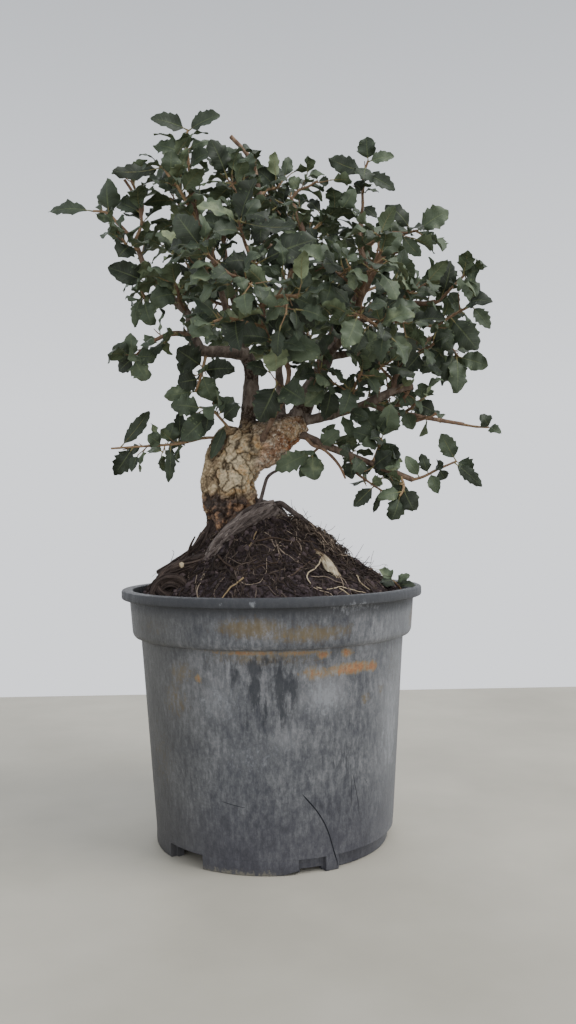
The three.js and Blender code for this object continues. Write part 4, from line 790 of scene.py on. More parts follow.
class Shape:
    """Points, faces and what the materials need to know, gathered for one piece."""

    def __init__(self):
        self.points = []
        self.faces = []
        self.slots = []
        self.places = []
        self.count = 0

    def add(self, points, faces, slot=0, places=None):
        """places holds three numbers for each point, which the materials read."""
        self.points.append(points)
        self.faces.extend([tuple(self.count + i for i in face) for face in faces])
        self.slots.extend([slot] * len(faces) if isinstance(slot, int) else slot)
        self.places.append(np.zeros((len(points), 3)) if places is None else places)
        self.count += len(points)

    def add_tube(self, course, sides, relief=None, tone=None, shade=None, slot=0):
        """A tube; a tone and a shade take the place of the last two numbers of its points."""
        points, faces, places = tube(course, sides, relief)
        if tone is not None:
            places[:, 1] = tone
        if shade is not None:
            places[:, 2] = shade
        self.add(points, faces, slot, places)

    def piece(self, name, materials, slot, replaces, sharp):
        mesh = bpy.data.meshes.new(name)
        mesh.from_pydata(np.concatenate(self.points) * MM, [], self.faces)
        mesh.polygons.foreach_set("material_index", self.slots)
        mesh.polygons.foreach_set("use_smooth", [True] * len(mesh.polygons))
        mesh.set_sharp_from_angle(angle=math.radians(sharp))
        numbers = {"place": np.concatenate(self.places)}
        return finish_piece(name, mesh, materials, replaces, numbers)


def keep_numbers(mesh, numbers):
    """Three numbers at each of a mesh's points, which its materials read by name."""
    for key, values in numbers.items():
        layer = mesh.attributes.new(key, "FLOAT_VECTOR", "POINT")
        layer.data.foreach_set("vector", values.astype(np.float32).ravel())


def link_object(name, data):
    made = bpy.data.objects.new(name, data)
    bpy.context.scene.collection.objects.link(made)
    return made


def finish_piece(name, mesh, materials, replaces, numbers):
    keep_numbers(mesh, numbers)
    for made in materials:
        mesh.materials.append(made)
    piece = link_object(name, mesh)
    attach(piece, "root")
    if replaces:
        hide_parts(*replaces)
    return piece


def smooth_path(path, step):
    """A curve through the points of a path, with a point every step or so."""
    path = np.asarray(path, float)
    ends = np.concatenate([[2 * path[0] - path[1]], path, [2 * path[-1] - path[-2]]])
    found = []
    for i in range(1, len(ends) - 2):
        a, b, c, d = ends[i - 1:i + 3]
        count = max(1, round(size((c - b)[:3]) / step))
        for t in np.arange(count) / count:
            found.append(0.5 * (2 * b + (c - a) * t + (2 * a - 5 * b + 4 * c - d) * t * t
                                + (3 * b - a - 3 * c + d) * t ** 3))
    found.append(path[-1])
    return np.array(found)


def tapered(points, radius, loss):
    """Points with a radius that loses a share of itself on the way to the last one."""
    points = np.asarray(points)
    radii = radius * (1 - loss * np.arange(len(points)) / (len(points) - 1))
    return np.concatenate([points, radii[:, None]], 1)


def ring_faces(rings, sides):
    """The faces between rings of points that follow each other."""
    faces = []
    for ring in range(rings - 1):
        a, b = ring * sides, (ring + 1) * sides
        faces.extend((a + k, b + k, b + (k + 1) % sides, a + (k + 1) % sides) for k in range(sides))
    return faces


def tube(path, sides, relief=None):
    """Points, faces and places of a closed tube through x, y, z, radius points."""
    points, places = [], []
    side = None
    angles = np.arange(sides) * FULL_TURN / sides
    travelled = 0
    for i, point in enumerate(path):
        before, after = path[max(i - 1, 0)], path[min(i + 1, len(path) - 1)]
        direction = unit((after - before)[:3])
        if side is None:
            side, other = around(direction)
        else:
            travelled += size((point - before)[:3])
            side = unit(side - direction * (side @ direction))
            other = cross(side, direction)
        reach = point[3] * (np.ones(sides) if relief is None else relief(angles, travelled, point))
        spokes = np.cos(angles)[:, None] * side + np.sin(angles)[:, None] * other
        points.append(point[:3] + spokes * reach[:, None])
        places.append(np.stack([np.full(sides, travelled), angles, np.full(sides, i / len(path))], 1))
    faces = ring_faces(len(path), sides)
    last = (len(path) - 1) * sides
    faces.append(tuple(range(sides)))
    faces.append(tuple(last + k for k in reversed(range(sides))))
    return np.concatenate(points), faces, np.concatenate(places)


# Blades
TOP, UNDER, STALK, TWIG = range(4)
BLADE_COLUMNS = 7
BLADE_THICKNESS = 0.34
# Teeth: shares of the length where they begin and that they take up, and their margin
TEETH_START = 0.24
TEETH_SPAN = 0.68
MARGIN_TOOTH = 1.13
MARGIN_NOTCH = 0.9
TOOTH_DRAW = (0.3, 1.5)
# A leaf shorter than this has a tooth less
SHORT_LEAF = 17
CURL = (-0.3, 0.06)
EXTRA_FOLD = (-0.04, 0.34)
RIPPLE = (0.04, 0.14)
TWIST = (-1.1, 1.1)
TWIST_MIDDLE = 0.45
FORWARD_TURN = 0.35
# Leaves that stand out pale at the front: x and z of their middles
BRIGHT_SPOTS = [(-26, 315), (3, 289), (-64, 386), (-60, 366), (101, 386)]
BRIGHT_REACH = 6
BRIGHT_SHADE = 0.93
USUAL_SHADE = 0.82
# The stalk that runs on as the midrib under the blade, by shares of the length
RIB_ALONG = np.array([-0.02, 0.07, 0.15, 0.3, 0.5, 0.8])
RIB_RADIUS = np.array([0.6, 0.46, 0.36, 0.2, 0.14, 0.08])
RIB_FULL_LENGTH = 18
STEM_ROOT = 1.4
STEM_TAPER = 0.35
STEM_SIDES = 7
RIB_SIDES = 5


def blade_stations(teeth):
    """Shares of the length with the factor of the margin there: teeth that point forward."""
    stations = [(0.13, 1), (0.175, 1), (TEETH_START, 0.97)]
    pitch = TEETH_SPAN / teeth
    for tooth in range(teeth):
        start = TEETH_START + tooth * pitch
        stations += [(start + 0.38 * pitch, 1), (start + 0.76 * pitch, MARGIN_TOOTH),
                     (start + pitch, MARGIN_NOTCH)]
    return np.array(stations + [(0.965, 1)]).T


def blade_faces(rows, columns):
    top = np.arange(rows * columns).reshape(rows, columns)
    under = top.copy()
    under[:, 1:-1] = rows * columns + np.arange(rows * (columns - 2)).reshape(rows, columns - 2)
    tip = rows * columns + rows * (columns - 2)
    faces, slots = [], []
    for c in range(columns - 1):
        for s in range(rows - 1):
            faces.append((top[s, c], top[s, c + 1], top[s + 1, c + 1], top[s + 1, c]))
            faces.append((under[s + 1, c], under[s + 1, c + 1], under[s, c + 1], under[s, c]))
            slots += [TOP, UNDER]
        faces.append((top[-1, c], top[-1, c + 1], tip))
        faces.append((under[-1, c + 1], under[-1, c], tip))
        closing = [top[0, c + 1], top[0, c], under[0, c], under[0, c + 1]]
        faces.append(tuple(dict.fromkeys(closing)))
        slots += [TOP, UNDER, UNDER]
    return faces, slots


def turned_forward(leaf):
    """The same leaf with its face turned a little further to the front."""
    upright = leaf["normal"] * math.cos(FORWARD_TURN)
    sideways = leaf["side"] * math.sin(FORWARD_TURN)
    normal = min(upright + sideways, upright - sideways, key=lambda facing: facing[1])
    return {**leaf, "normal": normal, "side": cross(leaf["direction"], normal)}


def shade_of(leaf, draw):
    """How light a leaf is: some that the light falls through stand out."""
    shade = USUAL_SHADE * draw()
    middle = leaf["base"] + leaf["direction"] * leaf["length"] * 0.55
    for x, z in BRIGHT_SPOTS:
        if math.hypot(middle[0] - x, middle[2] - z) < BRIGHT_REACH:
            shade = BRIGHT_SHADE
    return shade


def blade_grid(leaf, draw, teeth, along, edge, across):
    """The upper side of a blade, with its teeth, curl, ripples, twist and fold."""
    notches = 1 + (edge - 1) * between(draw, TOOTH_DRAW)
    width = np.maximum(half_width(leaf, along), 0.3)
    reach = across[None, :] * width[:, None]
    reach[:, 0] *= notches
    reach[:, -1] *= notches
    grid = leaf_points(leaf, np.repeat(along[:, None], len(across), 1), reach)
    curl = between(draw, CURL) * leaf["width"]
    phases = np.where(across > 0, leaf["phase"], FULL_TURN * draw())
    swing = np.sin(math.pi * teeth * (along[:, None] - TEETH_START) / TEETH_SPAN + phases)
    ripple = between(draw, RIPPLE) * leaf["width"] * swing * np.abs(across) ** 1.6
    turned = between(draw, TWIST) * (along[:, None] - TWIST_MIDDLE)
    fold = between(draw, EXTRA_FOLD) * np.abs(reach)
    bend = curl * across ** 2 + ripple + fold + reach * np.sin(turned)
    grid = grid + bend[..., None] * leaf["normal"]
    return grid + (reach * (np.cos(turned) - 1))[..., None] * leaf["side"]


def pairs(along, across):
    return np.stack(np.meshgrid(along, across, indexing="ij"), -1).reshape(-1, 2)


def leaf_shape(leaf, draw):
    """The points, faces, slots and places of one leaf."""
    teeth = 3 if leaf["length"] < SHORT_LEAF else 4
    along, edge = blade_stations(teeth)
    across = np.sin(np.linspace(-1, 1, BLADE_COLUMNS) * math.pi / 2)
    grid = blade_grid(leaf, draw, teeth, along, edge, across)
    thick = BLADE_THICKNESS * (1 - 0.4 * np.abs(across[1:-1]))
    lower = grid[:, 1:-1] - thick[None, :, None] * leaf["normal"]
    tip = leaf_points(leaf, [1.0], [0.0])
    points = np.concatenate([grid.reshape(-1, 3), lower.reshape(-1, 3), tip])
    spread = np.concatenate([pairs(along, across), pairs(along, across[1:-1]), [[1, 0]]])
    places = np.column_stack([spread, np.full(len(points), shade_of(leaf, draw))])
    faces, slots = blade_faces(len(along), BLADE_COLUMNS)
    return points, faces, slots, places


def add_leaf(shape, leaf, draw):
    shape.add(*leaf_shape(leaf, draw))
    rib = leaf_points(leaf, RIB_ALONG, np.zeros(len(RIB_ALONG)))
    rib = rib - leaf["normal"] * (BLADE_THICKNESS * 0.6)
    scale = min(1, leaf["length"] / RIB_FULL_LENGTH)
    path = np.concatenate([rib, (RIB_RADIUS * scale)[:, None]], 1)
    shape.add_tube(path, RIB_SIDES, shade=draw(), slot=STALK)


def knotty_relief(phase):
    """Knots along a twig, and a cross-section that is a little oval."""
    def relief(angles, travelled, point):
        knot = max(0, math.sin(travelled * 0.9 + phase)) ** 4
        return 1 + 0.13 * knot + 0.05 * np.sin(2 * angles + travelled)
    return relief


def add_stem(shape, stem, draw):
    path = tapered(stem["path"], stem["radius"], STEM_TAPER)
    rooted = path[0].copy()
    rooted[:3] -= unit((path[1] - path[0])[:3]) * STEM_ROOT
    course = smooth_path(np.concatenate([[rooted], path]), 2.2)
    shape.add_tube(course, STEM_SIDES, knotty_relief(6 * draw()), shade=draw(), slot=TWIG)


def leafy_piece(name, stems, leaves, draw, materials, replaces):
    shape = Shape()
    for stem in stems:
        add_stem(shape, stem, draw)
    for leaf in leaves:
        add_leaf(shape, leaf, draw)
    return shape.piece(name, materials, "leaves", replaces, 70)


# Wood
CORK_DEPTH = 2.6
# Size of the voxels that make the trunk one body, and how often that body is smoothed
CORK_VOXEL = 0.76
CORK_SMOOTHING = 3
# Width and height of the cells of the cork's pattern, from its plates to its flakes
PLATE_CELL = (9.0, 11.5)
CHIP_CELL = (3.3, 2.5)
FLAKE_CELL = (2.1, 1.7)
# The cork thins over the last stretch below this height, down to the least share of its depth
CORK_TOP = 262
CORK_FADE = 20
CORK_LEAST = 0.25
LIMB_STEP = 2.4
THICK_LIMB = 2.4
THINNER = {"limb_e": 0.8, "scar": 0.8}
# Bare stubs and cut twigs, in the same form as the limbs
STUBS = {
    "scar": [(-23, -8, 240, 3.6), (-28, -12, 244, 3), (-31, -15, 248, 2.6), (-33, -16, 251, 2.2)],
    "top_cut": [(-6.6, -6.3, 419.5, 1.3), (-7, -7, 428, 1.1), (-4, -8, 434, 1)],
    "right_a": [
        (79.1, -2.3, 268.1, 1.3), (85, -8, 275, 1.2), (88, -10, 279, 1.1), (91, -11, 284, 1),
    ],
    "right_b": [(86, 2, 267, 1.4), (92, 0, 262, 1.3), (99, -4, 263, 1.1), (107, -6, 266, 1)],
    "tan": [
        (63, 0, 328, 1.6), (59, -12, 328, 1.5), (57, -24, 332, 1.5), (60, -34, 339, 1.4),
        (65, -42, 348, 1.3), (71, -49, 358, 1.2),
    ],
    "twin_a": [(-81.4, 5.6, 396.9, 1.1), (-82, 4, 405, 1), (-87, 2, 414, 0.9), (-91, 1, 420, 0.8)],
    "twin_b": [(-81.4, 5.6, 396.9, 1.1), (-80, 4, 404, 1), (-84, 4, 413, 0.9), (-87, 5, 422, 0.8)],
    "drooping": [
        (23, -7, 252, 1.3), (27, -16, 246, 1.1), (33, -22, 243, 1), (39, -27, 237, 0.9),
        (43, -30, 231, 0.8), (46, -31, 224, 0.6),
    ],
}


def clamped(value):
    return min(max(value, 0), 1)


def cell_at(point, wide, tall, warp):
    """The cell of a pattern that a point stands in: distance from its seam, and its seed."""
    spot = Vector((point.x / wide, point.y / wide, point.z / tall)) + warp
    distances, seeds = noise.voronoi(spot)
    return distances[1] - distances[0], seeds[0]


def cork_relief(point):
    """Height of the cork at a point, the draws of its plate and chip, and how clear of cracks it is."""
    warp = noise.noise_vector(point / 7.0) * 0.5 + noise.noise_vector(point / 2.4) * 0.16
    seam, seed = cell_at(point, *PLATE_CELL, warp)
    plate = noise.cell(seed * 7.3) * 0.5 + 0.5
    deep = clamped((seam - 0.015) / 0.12)
    seam, seed = cell_at(point, *CHIP_CELL, warp * 2)
    chip = noise.cell(seed * 5.1) * 0.5 + 0.5
    shallow = clamped((seam - 0.02) / 0.3)
    arm = clamped((point.x + 12) / 8)
    deep += (1 - deep) * 0.5 * arm
    fine = noise.fractal(point / 1.9, 1.0, 2.0, 3)
    height = deep * (0.35 + 0.35 * plate) + shallow * (0.1 + 0.22 * chip) + 0.12 * fine
    seam, seed = cell_at(point, *FLAKE_CELL, warp * 3)
    flake = noise.cell(seed * 3.7) * 0.5 + 0.5
    height += 0.34 * arm * (flake - 0.5) * min(seam / 0.3, 1)
    return height, plate, chip, deep, shallow


def joined_tubes(paths):
    """A mesh of tubes along paths, remeshed into one body."""
    shape = Shape()
    for path in paths:
        shape.add_tube(smooth_path(path, 2), 24)
    rough = bpy.data.meshes.new("rough_trunk")
    rough.from_pydata(np.concatenate(shape.points), [], shape.faces)
    holder = link_object("rough_trunk", rough)
    remesh = holder.modifiers.new("one_body", "REMESH")
    remesh.mode = "VOXEL"
    remesh.voxel_size = CORK_VOXEL
    settled = holder.modifiers.new("settled", "SMOOTH")
    settled.iterations = CORK_SMOOTHING
    graph = bpy.context.evaluated_depsgraph_get()
    mesh = bpy.data.meshes.new_from_object(holder.evaluated_get(graph))
    bpy.data.objects.remove(holder)
    return mesh


def vertex_rows(mesh, key):
    values = np.empty(len(mesh.vertices) * 3, np.float32)
    mesh.vertices.foreach_get(key, values)
    return values.reshape(-1, 3).astype(float)


def cork_trunk(materials):
    mesh = joined_tubes([LIMBS["trunk"], LIMBS["arm"], LIMBS["limb_a"][:4], LIMBS["limb_d"][:4]])
    points = vertex_rows(mesh, "co")
    normals = vertex_rows(mesh, "normal")
    relief = np.empty((len(points), 5))
    for i, point in enumerate(points):
        spot = Vector(point)
        relief[i] = cork_relief(spot)
        lump = noise.noise(spot / 9.5) * 1.3 + noise.noise(spot / 17.0) * 1.6
        fade = min(1, max(CORK_LEAST, (CORK_TOP - point[2]) / CORK_FADE))
        points[i] += normals[i] * ((relief[i, 0] - 0.5) * CORK_DEPTH + lump) * fade
    mesh.vertices.foreach_set("co", (points * MM).ravel().astype(np.float32))
    mesh.polygons.foreach_set("use_smooth", [True] * len(mesh.polygons))
    mesh.update()
    cracks = np.stack([relief[:, 3], relief[:, 4], points[:, 2]], 1)
    numbers = {"place": relief[:, :3].copy(), "crack": cracks}
    return finish_piece("cork_trunk", mesh, materials, ["trunk_and_limbs"], numbers)


def limb_relief(seed):
    """Bumps, a slow swell and a knot here and there along a limb."""
    def relief(angles, travelled, point):
        spots = [noise.noise(Vector((math.cos(a) * 1.4, math.sin(a) * 1.4 + seed, travelled / 4.5)))
                 for a in angles]
        knot = max(0, math.sin(travelled / 4.3 + 2 * seed)) ** 6
        return 1 + 0.15 * np.array(spots) + 0.05 * math.sin(travelled / 5.1 + seed) + 0.13 * knot
    return relief


def limb_pieces(materials):
    shape = Shape()
    for seed, (name, path) in enumerate({**LIMBS, **STUBS}.items()):
        if name in ("trunk", "arm"):
            continue
        course = smooth_path(path, LIMB_STEP)
        course[:, 3] *= THINNER.get(name, 1)
        sides = 14 if path[0][3] > THICK_LIMB else 9
        shape.add_tube(course, sides, limb_relief(seed * 7.7), shade=np.repeat(course[:, 3], sides))
    return shape.piece("limbs", materials, "wood", ["trunk_and_limbs"], 60)


# Roots
ROOT_SEED = 811
COIL = [
    (-32, -30, 180, 3.8), (-43, -33, 176, 4), (-54, -37, 173, 4.2), (-63, -42, 167.5, 4.4),
    (-66, -47, 160.5, 4.4), (-62, -50, 156, 4.2), (-55, -50, 155, 3.4),
]
COIL_MIDDLE = np.array([-59, -50, 156])
COIL_STRANDS = 12
COIL_THICKNESS = (0.35, 0.75)
# How pale the cut root is at a few heights
PALE_HEIGHTS = [162, 168, 177, 185]
PALE_SHADES = [0, 0.4, 0.25, -0.5]
# The cut root whose pale wood shows: x, y, z and radius
PALE_ROOT = [
    (17, -20, 186, 1.2), (23, -28, 182, 1.4), (28, -35, 179, 1.8), (32, -41, 174.5, 2.9),
    (35, -46, 169, 3.7), (37, -50, 164.5, 3.2), (38, -53, 161, 1.8),
]
# Strands of each root, their thinnest and thickest radius, and the core's share of the root
CROWN_BUNDLES = {"shoulder": (34, (0.6, 1.3), 0.86), "oblique": (46, (0.6, 1.5), 0.86)}
EARTHY_BUNDLES = {
    "left_flare": (20, (0.35, 1.0), 0.8), "back_a": (24, (0.35, 1.0), 0.8),
    "back_c": (22, (0.35, 1.0), 0.8),
}
COIL_BUNDLE = (26, (0.35, 1.0), 0.8)
SHORTEST_STRAND = 5
CORE_SHADE = 0.2
CORE_SIDES = 26
STRAND_SIDES = 6


def fibre_relief(seed, depth):
    """Long ridges that wander a little round the root."""
    def relief(angles, travelled, point):
        turned = angles + 0.25 * math.sin(travelled / 13 + seed)
        spots = [noise.noise(Vector((math.cos(a) * 3.6 + seed, math.sin(a) * 3.6, travelled / 22)))
                 for a in turned]
        return 1 + depth * np.array(spots) * 1.6
    return relief


def strand_path(course, draw, thickness, core):
    """A strand that wanders round a part of a root's core, or None where it would be short."""
    angle = FULL_TURN * draw()
    drift = 0.9 * (draw() - 0.5)
    sway = FULL_TURN * draw()
    first = int(0.35 * draw() * len(course))
    last = len(course) - int(0.3 * draw() * len(course))
    if last - first < SHORTEST_STRAND:
        return None
    radius = between(draw, thickness)
    found, side = [], None
    for i in range(first, last):
        ahead = unit((course[min(i + 1, len(course) - 1)] - course[max(i - 1, 0)])[:3])
        side = around(ahead)[0] if side is None else unit(side - ahead * (side @ ahead))
        turn = angle + drift * (i - first) / 6 + 0.35 * math.sin(i / 4 + sway)
        spoke = side * math.cos(turn) + cross(side, ahead) * math.sin(turn)
        share = (i - first) / (last - first - 1)
        place = course[i, :3] + spoke * (course[i, 3] * core + 0.15 * radius)
        found.append((*place, radius * (1 - 0.5 * share)))
    return np.array(found)


def bundle(shape, path, draw, strands, thickness, core):
    """A root made of strands that run along it and wander round its core."""
    course = smooth_path(path, 2)
    thin = course.copy()
    thin[:, 3] *= core
    shape.add_tube(thin, CORE_SIDES, fibre_relief(7 * draw(), 0.12), shade=CORE_SHADE)
    for _ in range(strands):
        found = strand_path(course, draw, thickness, core)
        if found is not None:
            shape.add_tube(found, STRAND_SIDES, shade=draw())


def crown_roots(materials, draw):
    """The roots that swell from the foot of the trunk."""
    shape = Shape()
    for name, entry in CROWN_BUNDLES.items():
        bundle(shape, ROOTS[name], draw, *entry)
    for name in ("arching", "upright"):
        shape.add_tube(smooth_path(ROOTS[name], 1.6), 10, fibre_relief(2.1, 0.1), shade=CORE_SHADE)
    return shape.piece("root_crown", materials, "wood", ["trunk_and_limbs"], 60)


def add_coil_strands(shape, draw):
    """Thin strands that turn round the middle of the coiled root."""
    for k in range(COIL_STRANDS):
        reach = 5 + 8 * (k + draw()) / COIL_STRANDS
        start = math.radians(205 - 30 * draw())
        end = math.radians(-10 - 25 * draw())
        middle = COIL_MIDDLE + np.array([0, 5 * (draw() - 0.5), 0])
        tilt = 0.3 * (draw() - 0.5)
        path = []
        for turn in np.linspace(start, end, 9):
            spoke = np.array([math.cos(turn), tilt + 0.1 * math.sin(3 * turn), math.sin(turn)])
            path.append((*(middle + spoke * reach), between(draw, COIL_THICKNESS)))
        shape.add_tube(smooth_path(path, 1.6), STRAND_SIDES, shade=0.3 + 0.7 * draw())


def earthy_roots(materials, draw):
    """The dark roots at the back and on the left, and the coiled one by the rim."""
    shape = Shape()
    for name, entry in EARTHY_BUNDLES.items():
        bundle(shape, ROOTS[name], draw, *entry)
    bundle(shape, COIL, draw, *COIL_BUNDLE)
    add_coil_strands(shape, draw)
    return shape.piece("earthy_roots", materials, "wood", ["trunk_and_limbs"], 60)


def pale_root(materials):
    shape = Shape()
    points, faces, places = tube(smooth_path(PALE_ROOT, 1.2), 22, fibre_relief(4.2, 0.22))
    places[:, 2] = np.interp(points[:, 2], PALE_HEIGHTS, PALE_SHADES)
    shape.add(points, faces, 0, places)
    return shape.piece("pale_root", materials, "wood", ["trunk_and_limbs"], 60)


# Soil
# Rings at the axis have this radius, so that their points stay apart
MIDDLE = 0.01
SOIL_SEGMENTS = 200
SOIL_RINGS = 74
# Within this distance of the pot's wall the surface turns smooth
SMOOTH_EDGE = 4
MOUND_RADII = [radius for radius, height in MOUND] + [SOIL_RADIUS]
MOUND_HEIGHTS = [height for radius, height in MOUND] + [SOIL_EDGE]
# Radius and height of the underside, from the edge to the middle
UNDERSIDE = [
    (SOIL_RADIUS, COLLAR_BOTTOM + 4), (80.6, COLLAR_BOTTOM), (72.7, FLOOR_TOP + 0.5),
    (MIDDLE, FLOOR_TOP + 0.5),
]
CRUMB_SEED = 311
CRUMBS = 1500
CRUMB_SIZE = (0.7, 2.4)
CRUMB_REACH = 84
PEBBLE_PLACE = np.array([-53.5, -41.2, 173.5])
PEBBLE_SIZE = np.array([1.6, 1.3, 2.1])
# Past the soil's own shades: the material paints it pale
PEBBLE_SHADE = 1.3
# A little more than the edge of an icosahedron of radius 1
LUMP_EDGE = 1.06


def mound_shift(radius):
    """How far to the side a ring of the mound stands."""
    return MOUND_SHIFT * (1 - radius / COLLAR_TOP_RADIUS)


def mound_height(x, y):
    """Height of the soil's surface, without its crumbs."""
    radius = 50.0
    for _ in range(12):
        radius = math.hypot(x - mound_shift(radius), y)
    return float(np.interp(radius, MOUND_RADII, MOUND_HEIGHTS))


def crumble(x, y):
    spot = Vector((x, y, 0))
    return 1.7 * noise.fractal(spot / 6.5, 0.9, 2.1, 4) + 0.9 * noise.noise(spot / 17)


def surface_point(x, y, lift):
    return np.array([x, y, mound_height(x, y) + crumble(x, y) + lift])


def soil_ring(radius, shift=0):
    """The places on a ring, as x and y."""
    angles = [FULL_TURN * k / SOIL_SEGMENTS for k in range(SOIL_SEGMENTS)]
    return [(shift + radius * math.cos(angle), radius * math.sin(angle)) for angle in angles]


def soil_piece(materials):
    points = []
    for radius in np.concatenate([[MIDDLE], SOIL_RADIUS * (np.arange(1, SOIL_RINGS + 1) / SOIL_RINGS)]):
        height = np.interp(radius, MOUND_RADII, MOUND_HEIGHTS)
        edge = min(1, (SOIL_RADIUS - radius) / SMOOTH_EDGE)
        for x, y in soil_ring(radius, mound_shift(radius)):
            points.append((x, y, height + crumble(x, y) * edge))
    for radius, height in UNDERSIDE:
        points.extend((x, y, height) for x, y in soil_ring(radius))
    rings = SOIL_RINGS + 1 + len(UNDERSIDE)
    faces = ring_faces(rings, SOIL_SEGMENTS)
    faces.append(tuple(reversed(range(SOIL_SEGMENTS))))
    last = (rings - 1) * SOIL_SEGMENTS
    faces.append(tuple(last + k for k in range(SOIL_SEGMENTS)))
    shape = Shape()
    shape.add(np.array(points), faces)
    return shape.piece("soil_mound", materials, "soil", ["soil"], 180)


def lump_shape():
    """An icosahedron's points and faces."""
    golden = (1 + math.sqrt(5)) / 2
    points = []
    for a in (-1, 1):
        for b in (-golden, golden):
            points += [(0, a, b), (a, b, 0), (b, 0, a)]
    points = np.array(points) / math.hypot(1, golden)
    faces = []
    for i, j, k in combinations(range(len(points)), 3):
        a, b, c = points[[i, j, k]]
        if max(size(a - b), size(b - c), size(c - a)) < LUMP_EDGE:
            faces.append((i, j, k) if cross(b - a, c - a) @ a > 0 else (i, k, j))
    return points, faces


def crumb_piece(materials):
    draw = seeded(CRUMB_SEED)
    corners, faces = lump_shape()
    count = len(corners)
    shape = Shape()
    for _ in range(CRUMBS):
        angle = FULL_TURN * draw()
        radius = CRUMB_REACH * math.sqrt(draw())
        big = between(draw, CRUMB_SIZE) * (0.6 + 0.4 * draw())
        place = surface_point(radius * math.cos(angle) + mound_shift(radius),
                              radius * math.sin(angle), 0.2 * big)
        jitter = np.array([[0.75 + 0.5 * draw() for _ in range(3)] for _ in range(count)])
        stretch = np.array([1 + 0.5 * draw(), 1, 0.6 + 0.4 * draw()])
        places = np.tile([draw(), draw(), draw()], (count, 1))
        turn = np.array(Euler([FULL_TURN * draw() for _ in range(3)]).to_matrix())
        shape.add(place + (corners * jitter * stretch * big) @ turn, faces, 0, places)
    places = np.full((count, 3), PEBBLE_SHADE)
    shape.add(PEBBLE_PLACE + corners * PEBBLE_SIZE, faces, 0, places)
    return shape.piece("soil_crumbs", materials, "soil", [], 30)


# Fine roots
HAIR_SEED = 5203
HAIRS = 1350
HAIR_RADIUS = (0.18, 0.42)
HAIR_STEP = 3.3
STRAY_HAIRS = 280
STRAY_RADIUS = (0.22, 0.42)
STRAY_STEP = 2.8
DARK_STRANDS = 190
STRAND_RADIUS = (0.5, 0.95)
HAIR_REACH = 84
# Shares of the hairs: stray ones on the right slope, those that run downhill and the straighter
# ones. Then the span of a hair's turn from step to step.
RIGHT_SHARE = 0.5
DOWNHILL_SHARE = 0.8
STRAIGHT_SHARE = 0.62
HAIR_WANDER = 1.2
HAIR_TAPER = 0.55
# The tangle along the right slope
FRIZZ_HAIRS = 380
FRIZZ_RADIUS = (0.26, 0.5)
FRIZZ_STEP = 1.9
FRIZZ_WANDER = 2.6
# Roots and straws that the front shows one by one: radius, shade and x, y of points on the soil
SURFACE_THREADS = {
    "pale_a": (0.42, 0.74, [(30, -38), (28, -47), (24, -55), (20.5, -61), (22, -66), (30, -68),
                            (40, -62), (46, -60), (54, -57)]),
    "pale_c": (0.42, 0.72, [(33, -39), (38, -42), (41, -50), (42, -61)]),
    "pale_d": (0.4, 0.72, [(51, -41), (53, -49), (58, -50)]),
    "pale_e": (0.4, 0.7, [(39, -64), (46, -67)]),
    "straw": (0.55, 0.6, [(-16, -63), (-24, -71), (-28, -75)]),
    "straw_b": (0.4, 0.55, [(-8, -32), (-11, -39), (-13, -43)]),
    "cross_a": (0.6, 0.16, [(-10, -40), (1, -38), (11, -37), (23, -30), (31, -25)]),
    "cross_b": (0.6, 0.13, [(-32, -42), (-24, -53), (-15, -57), (-5, -55), (8, -53)]),
    "cross_c": (0.5, 0.22, [(11, -64), (17, -55), (26, -43)]),
}
THREAD_TAPER = 0.4
# A dark stick that stands in the soil: x, y, z and radius
STICK = [(-52, -20, 176, 0.9), (-50, -20, 184, 0.8), (-47, -20, 190, 0.5)]
STICK_SHADE = 0.05


def hair_path(draw, stray):
    """A fine root that wanders over the soil, mostly downhill; a stray one ends in the air."""
    angle = FULL_TURN * draw()
    if stray and draw() < RIGHT_SHARE:
        angle = 1.1 * (draw() - 0.6)
    radius = 14 + 64 * draw() ** 0.8
    radial = 0 if draw() < DOWNHILL_SHARE else math.pi
    heading = angle + radial + (1.5 if draw() < STRAIGHT_SHARE else 3) * (draw() - 0.5)
    x = MOUND_SHIFT + radius * math.cos(angle)
    y = radius * math.sin(angle)
    steps = 5 + int(6 * draw()) if stray else 5 + int(9 * draw())
    hop = (3 + 13 * draw() ** 3) if stray else 0.3 + 1.7 * draw() * draw()
    step = STRAY_STEP if stray else HAIR_STEP
    points = []
    for i in range(steps):
        share = i / (steps - 1)
        lift = hop * share * share if stray else hop * math.sin(math.pi * share)
        points.append(surface_point(x, y, 0.12 + lift))
        heading += (draw() - 0.5) * HAIR_WANDER
        x += step * math.cos(heading)
        y += step * math.sin(heading)
        if math.hypot(x, y) > HAIR_REACH:
            break
    return points


def frizz_path(draw):
    """A curled fine root that stands off the right slope."""
    angle = 1.1 * (draw() - 0.45)
    radius = 26 + 28 * draw()
    heading = FULL_TURN * draw()
    x = MOUND_SHIFT + radius * math.cos(angle)
    y = radius * math.sin(angle)
    hop = 1.5 + 5 * draw()
    steps = 6 + int(6 * draw())
    points = []
    for i in range(steps):
        lift = hop * math.sin(math.pi * i / (steps - 1)) + 0.5 * draw()
        points.append(surface_point(x, y, lift))
        heading += (draw() - 0.5) * FRIZZ_WANDER
        x += FRIZZ_STEP * math.cos(heading)
        y += FRIZZ_STEP * math.sin(heading)
    return points


def add_hair(shape, points, radius, step, tone, shade):
    course = smooth_path(tapered(points, radius, HAIR_TAPER), step)
    shape.add_tube(course, 3 if radius < 0.5 else 5, tone=tone, shade=shade)


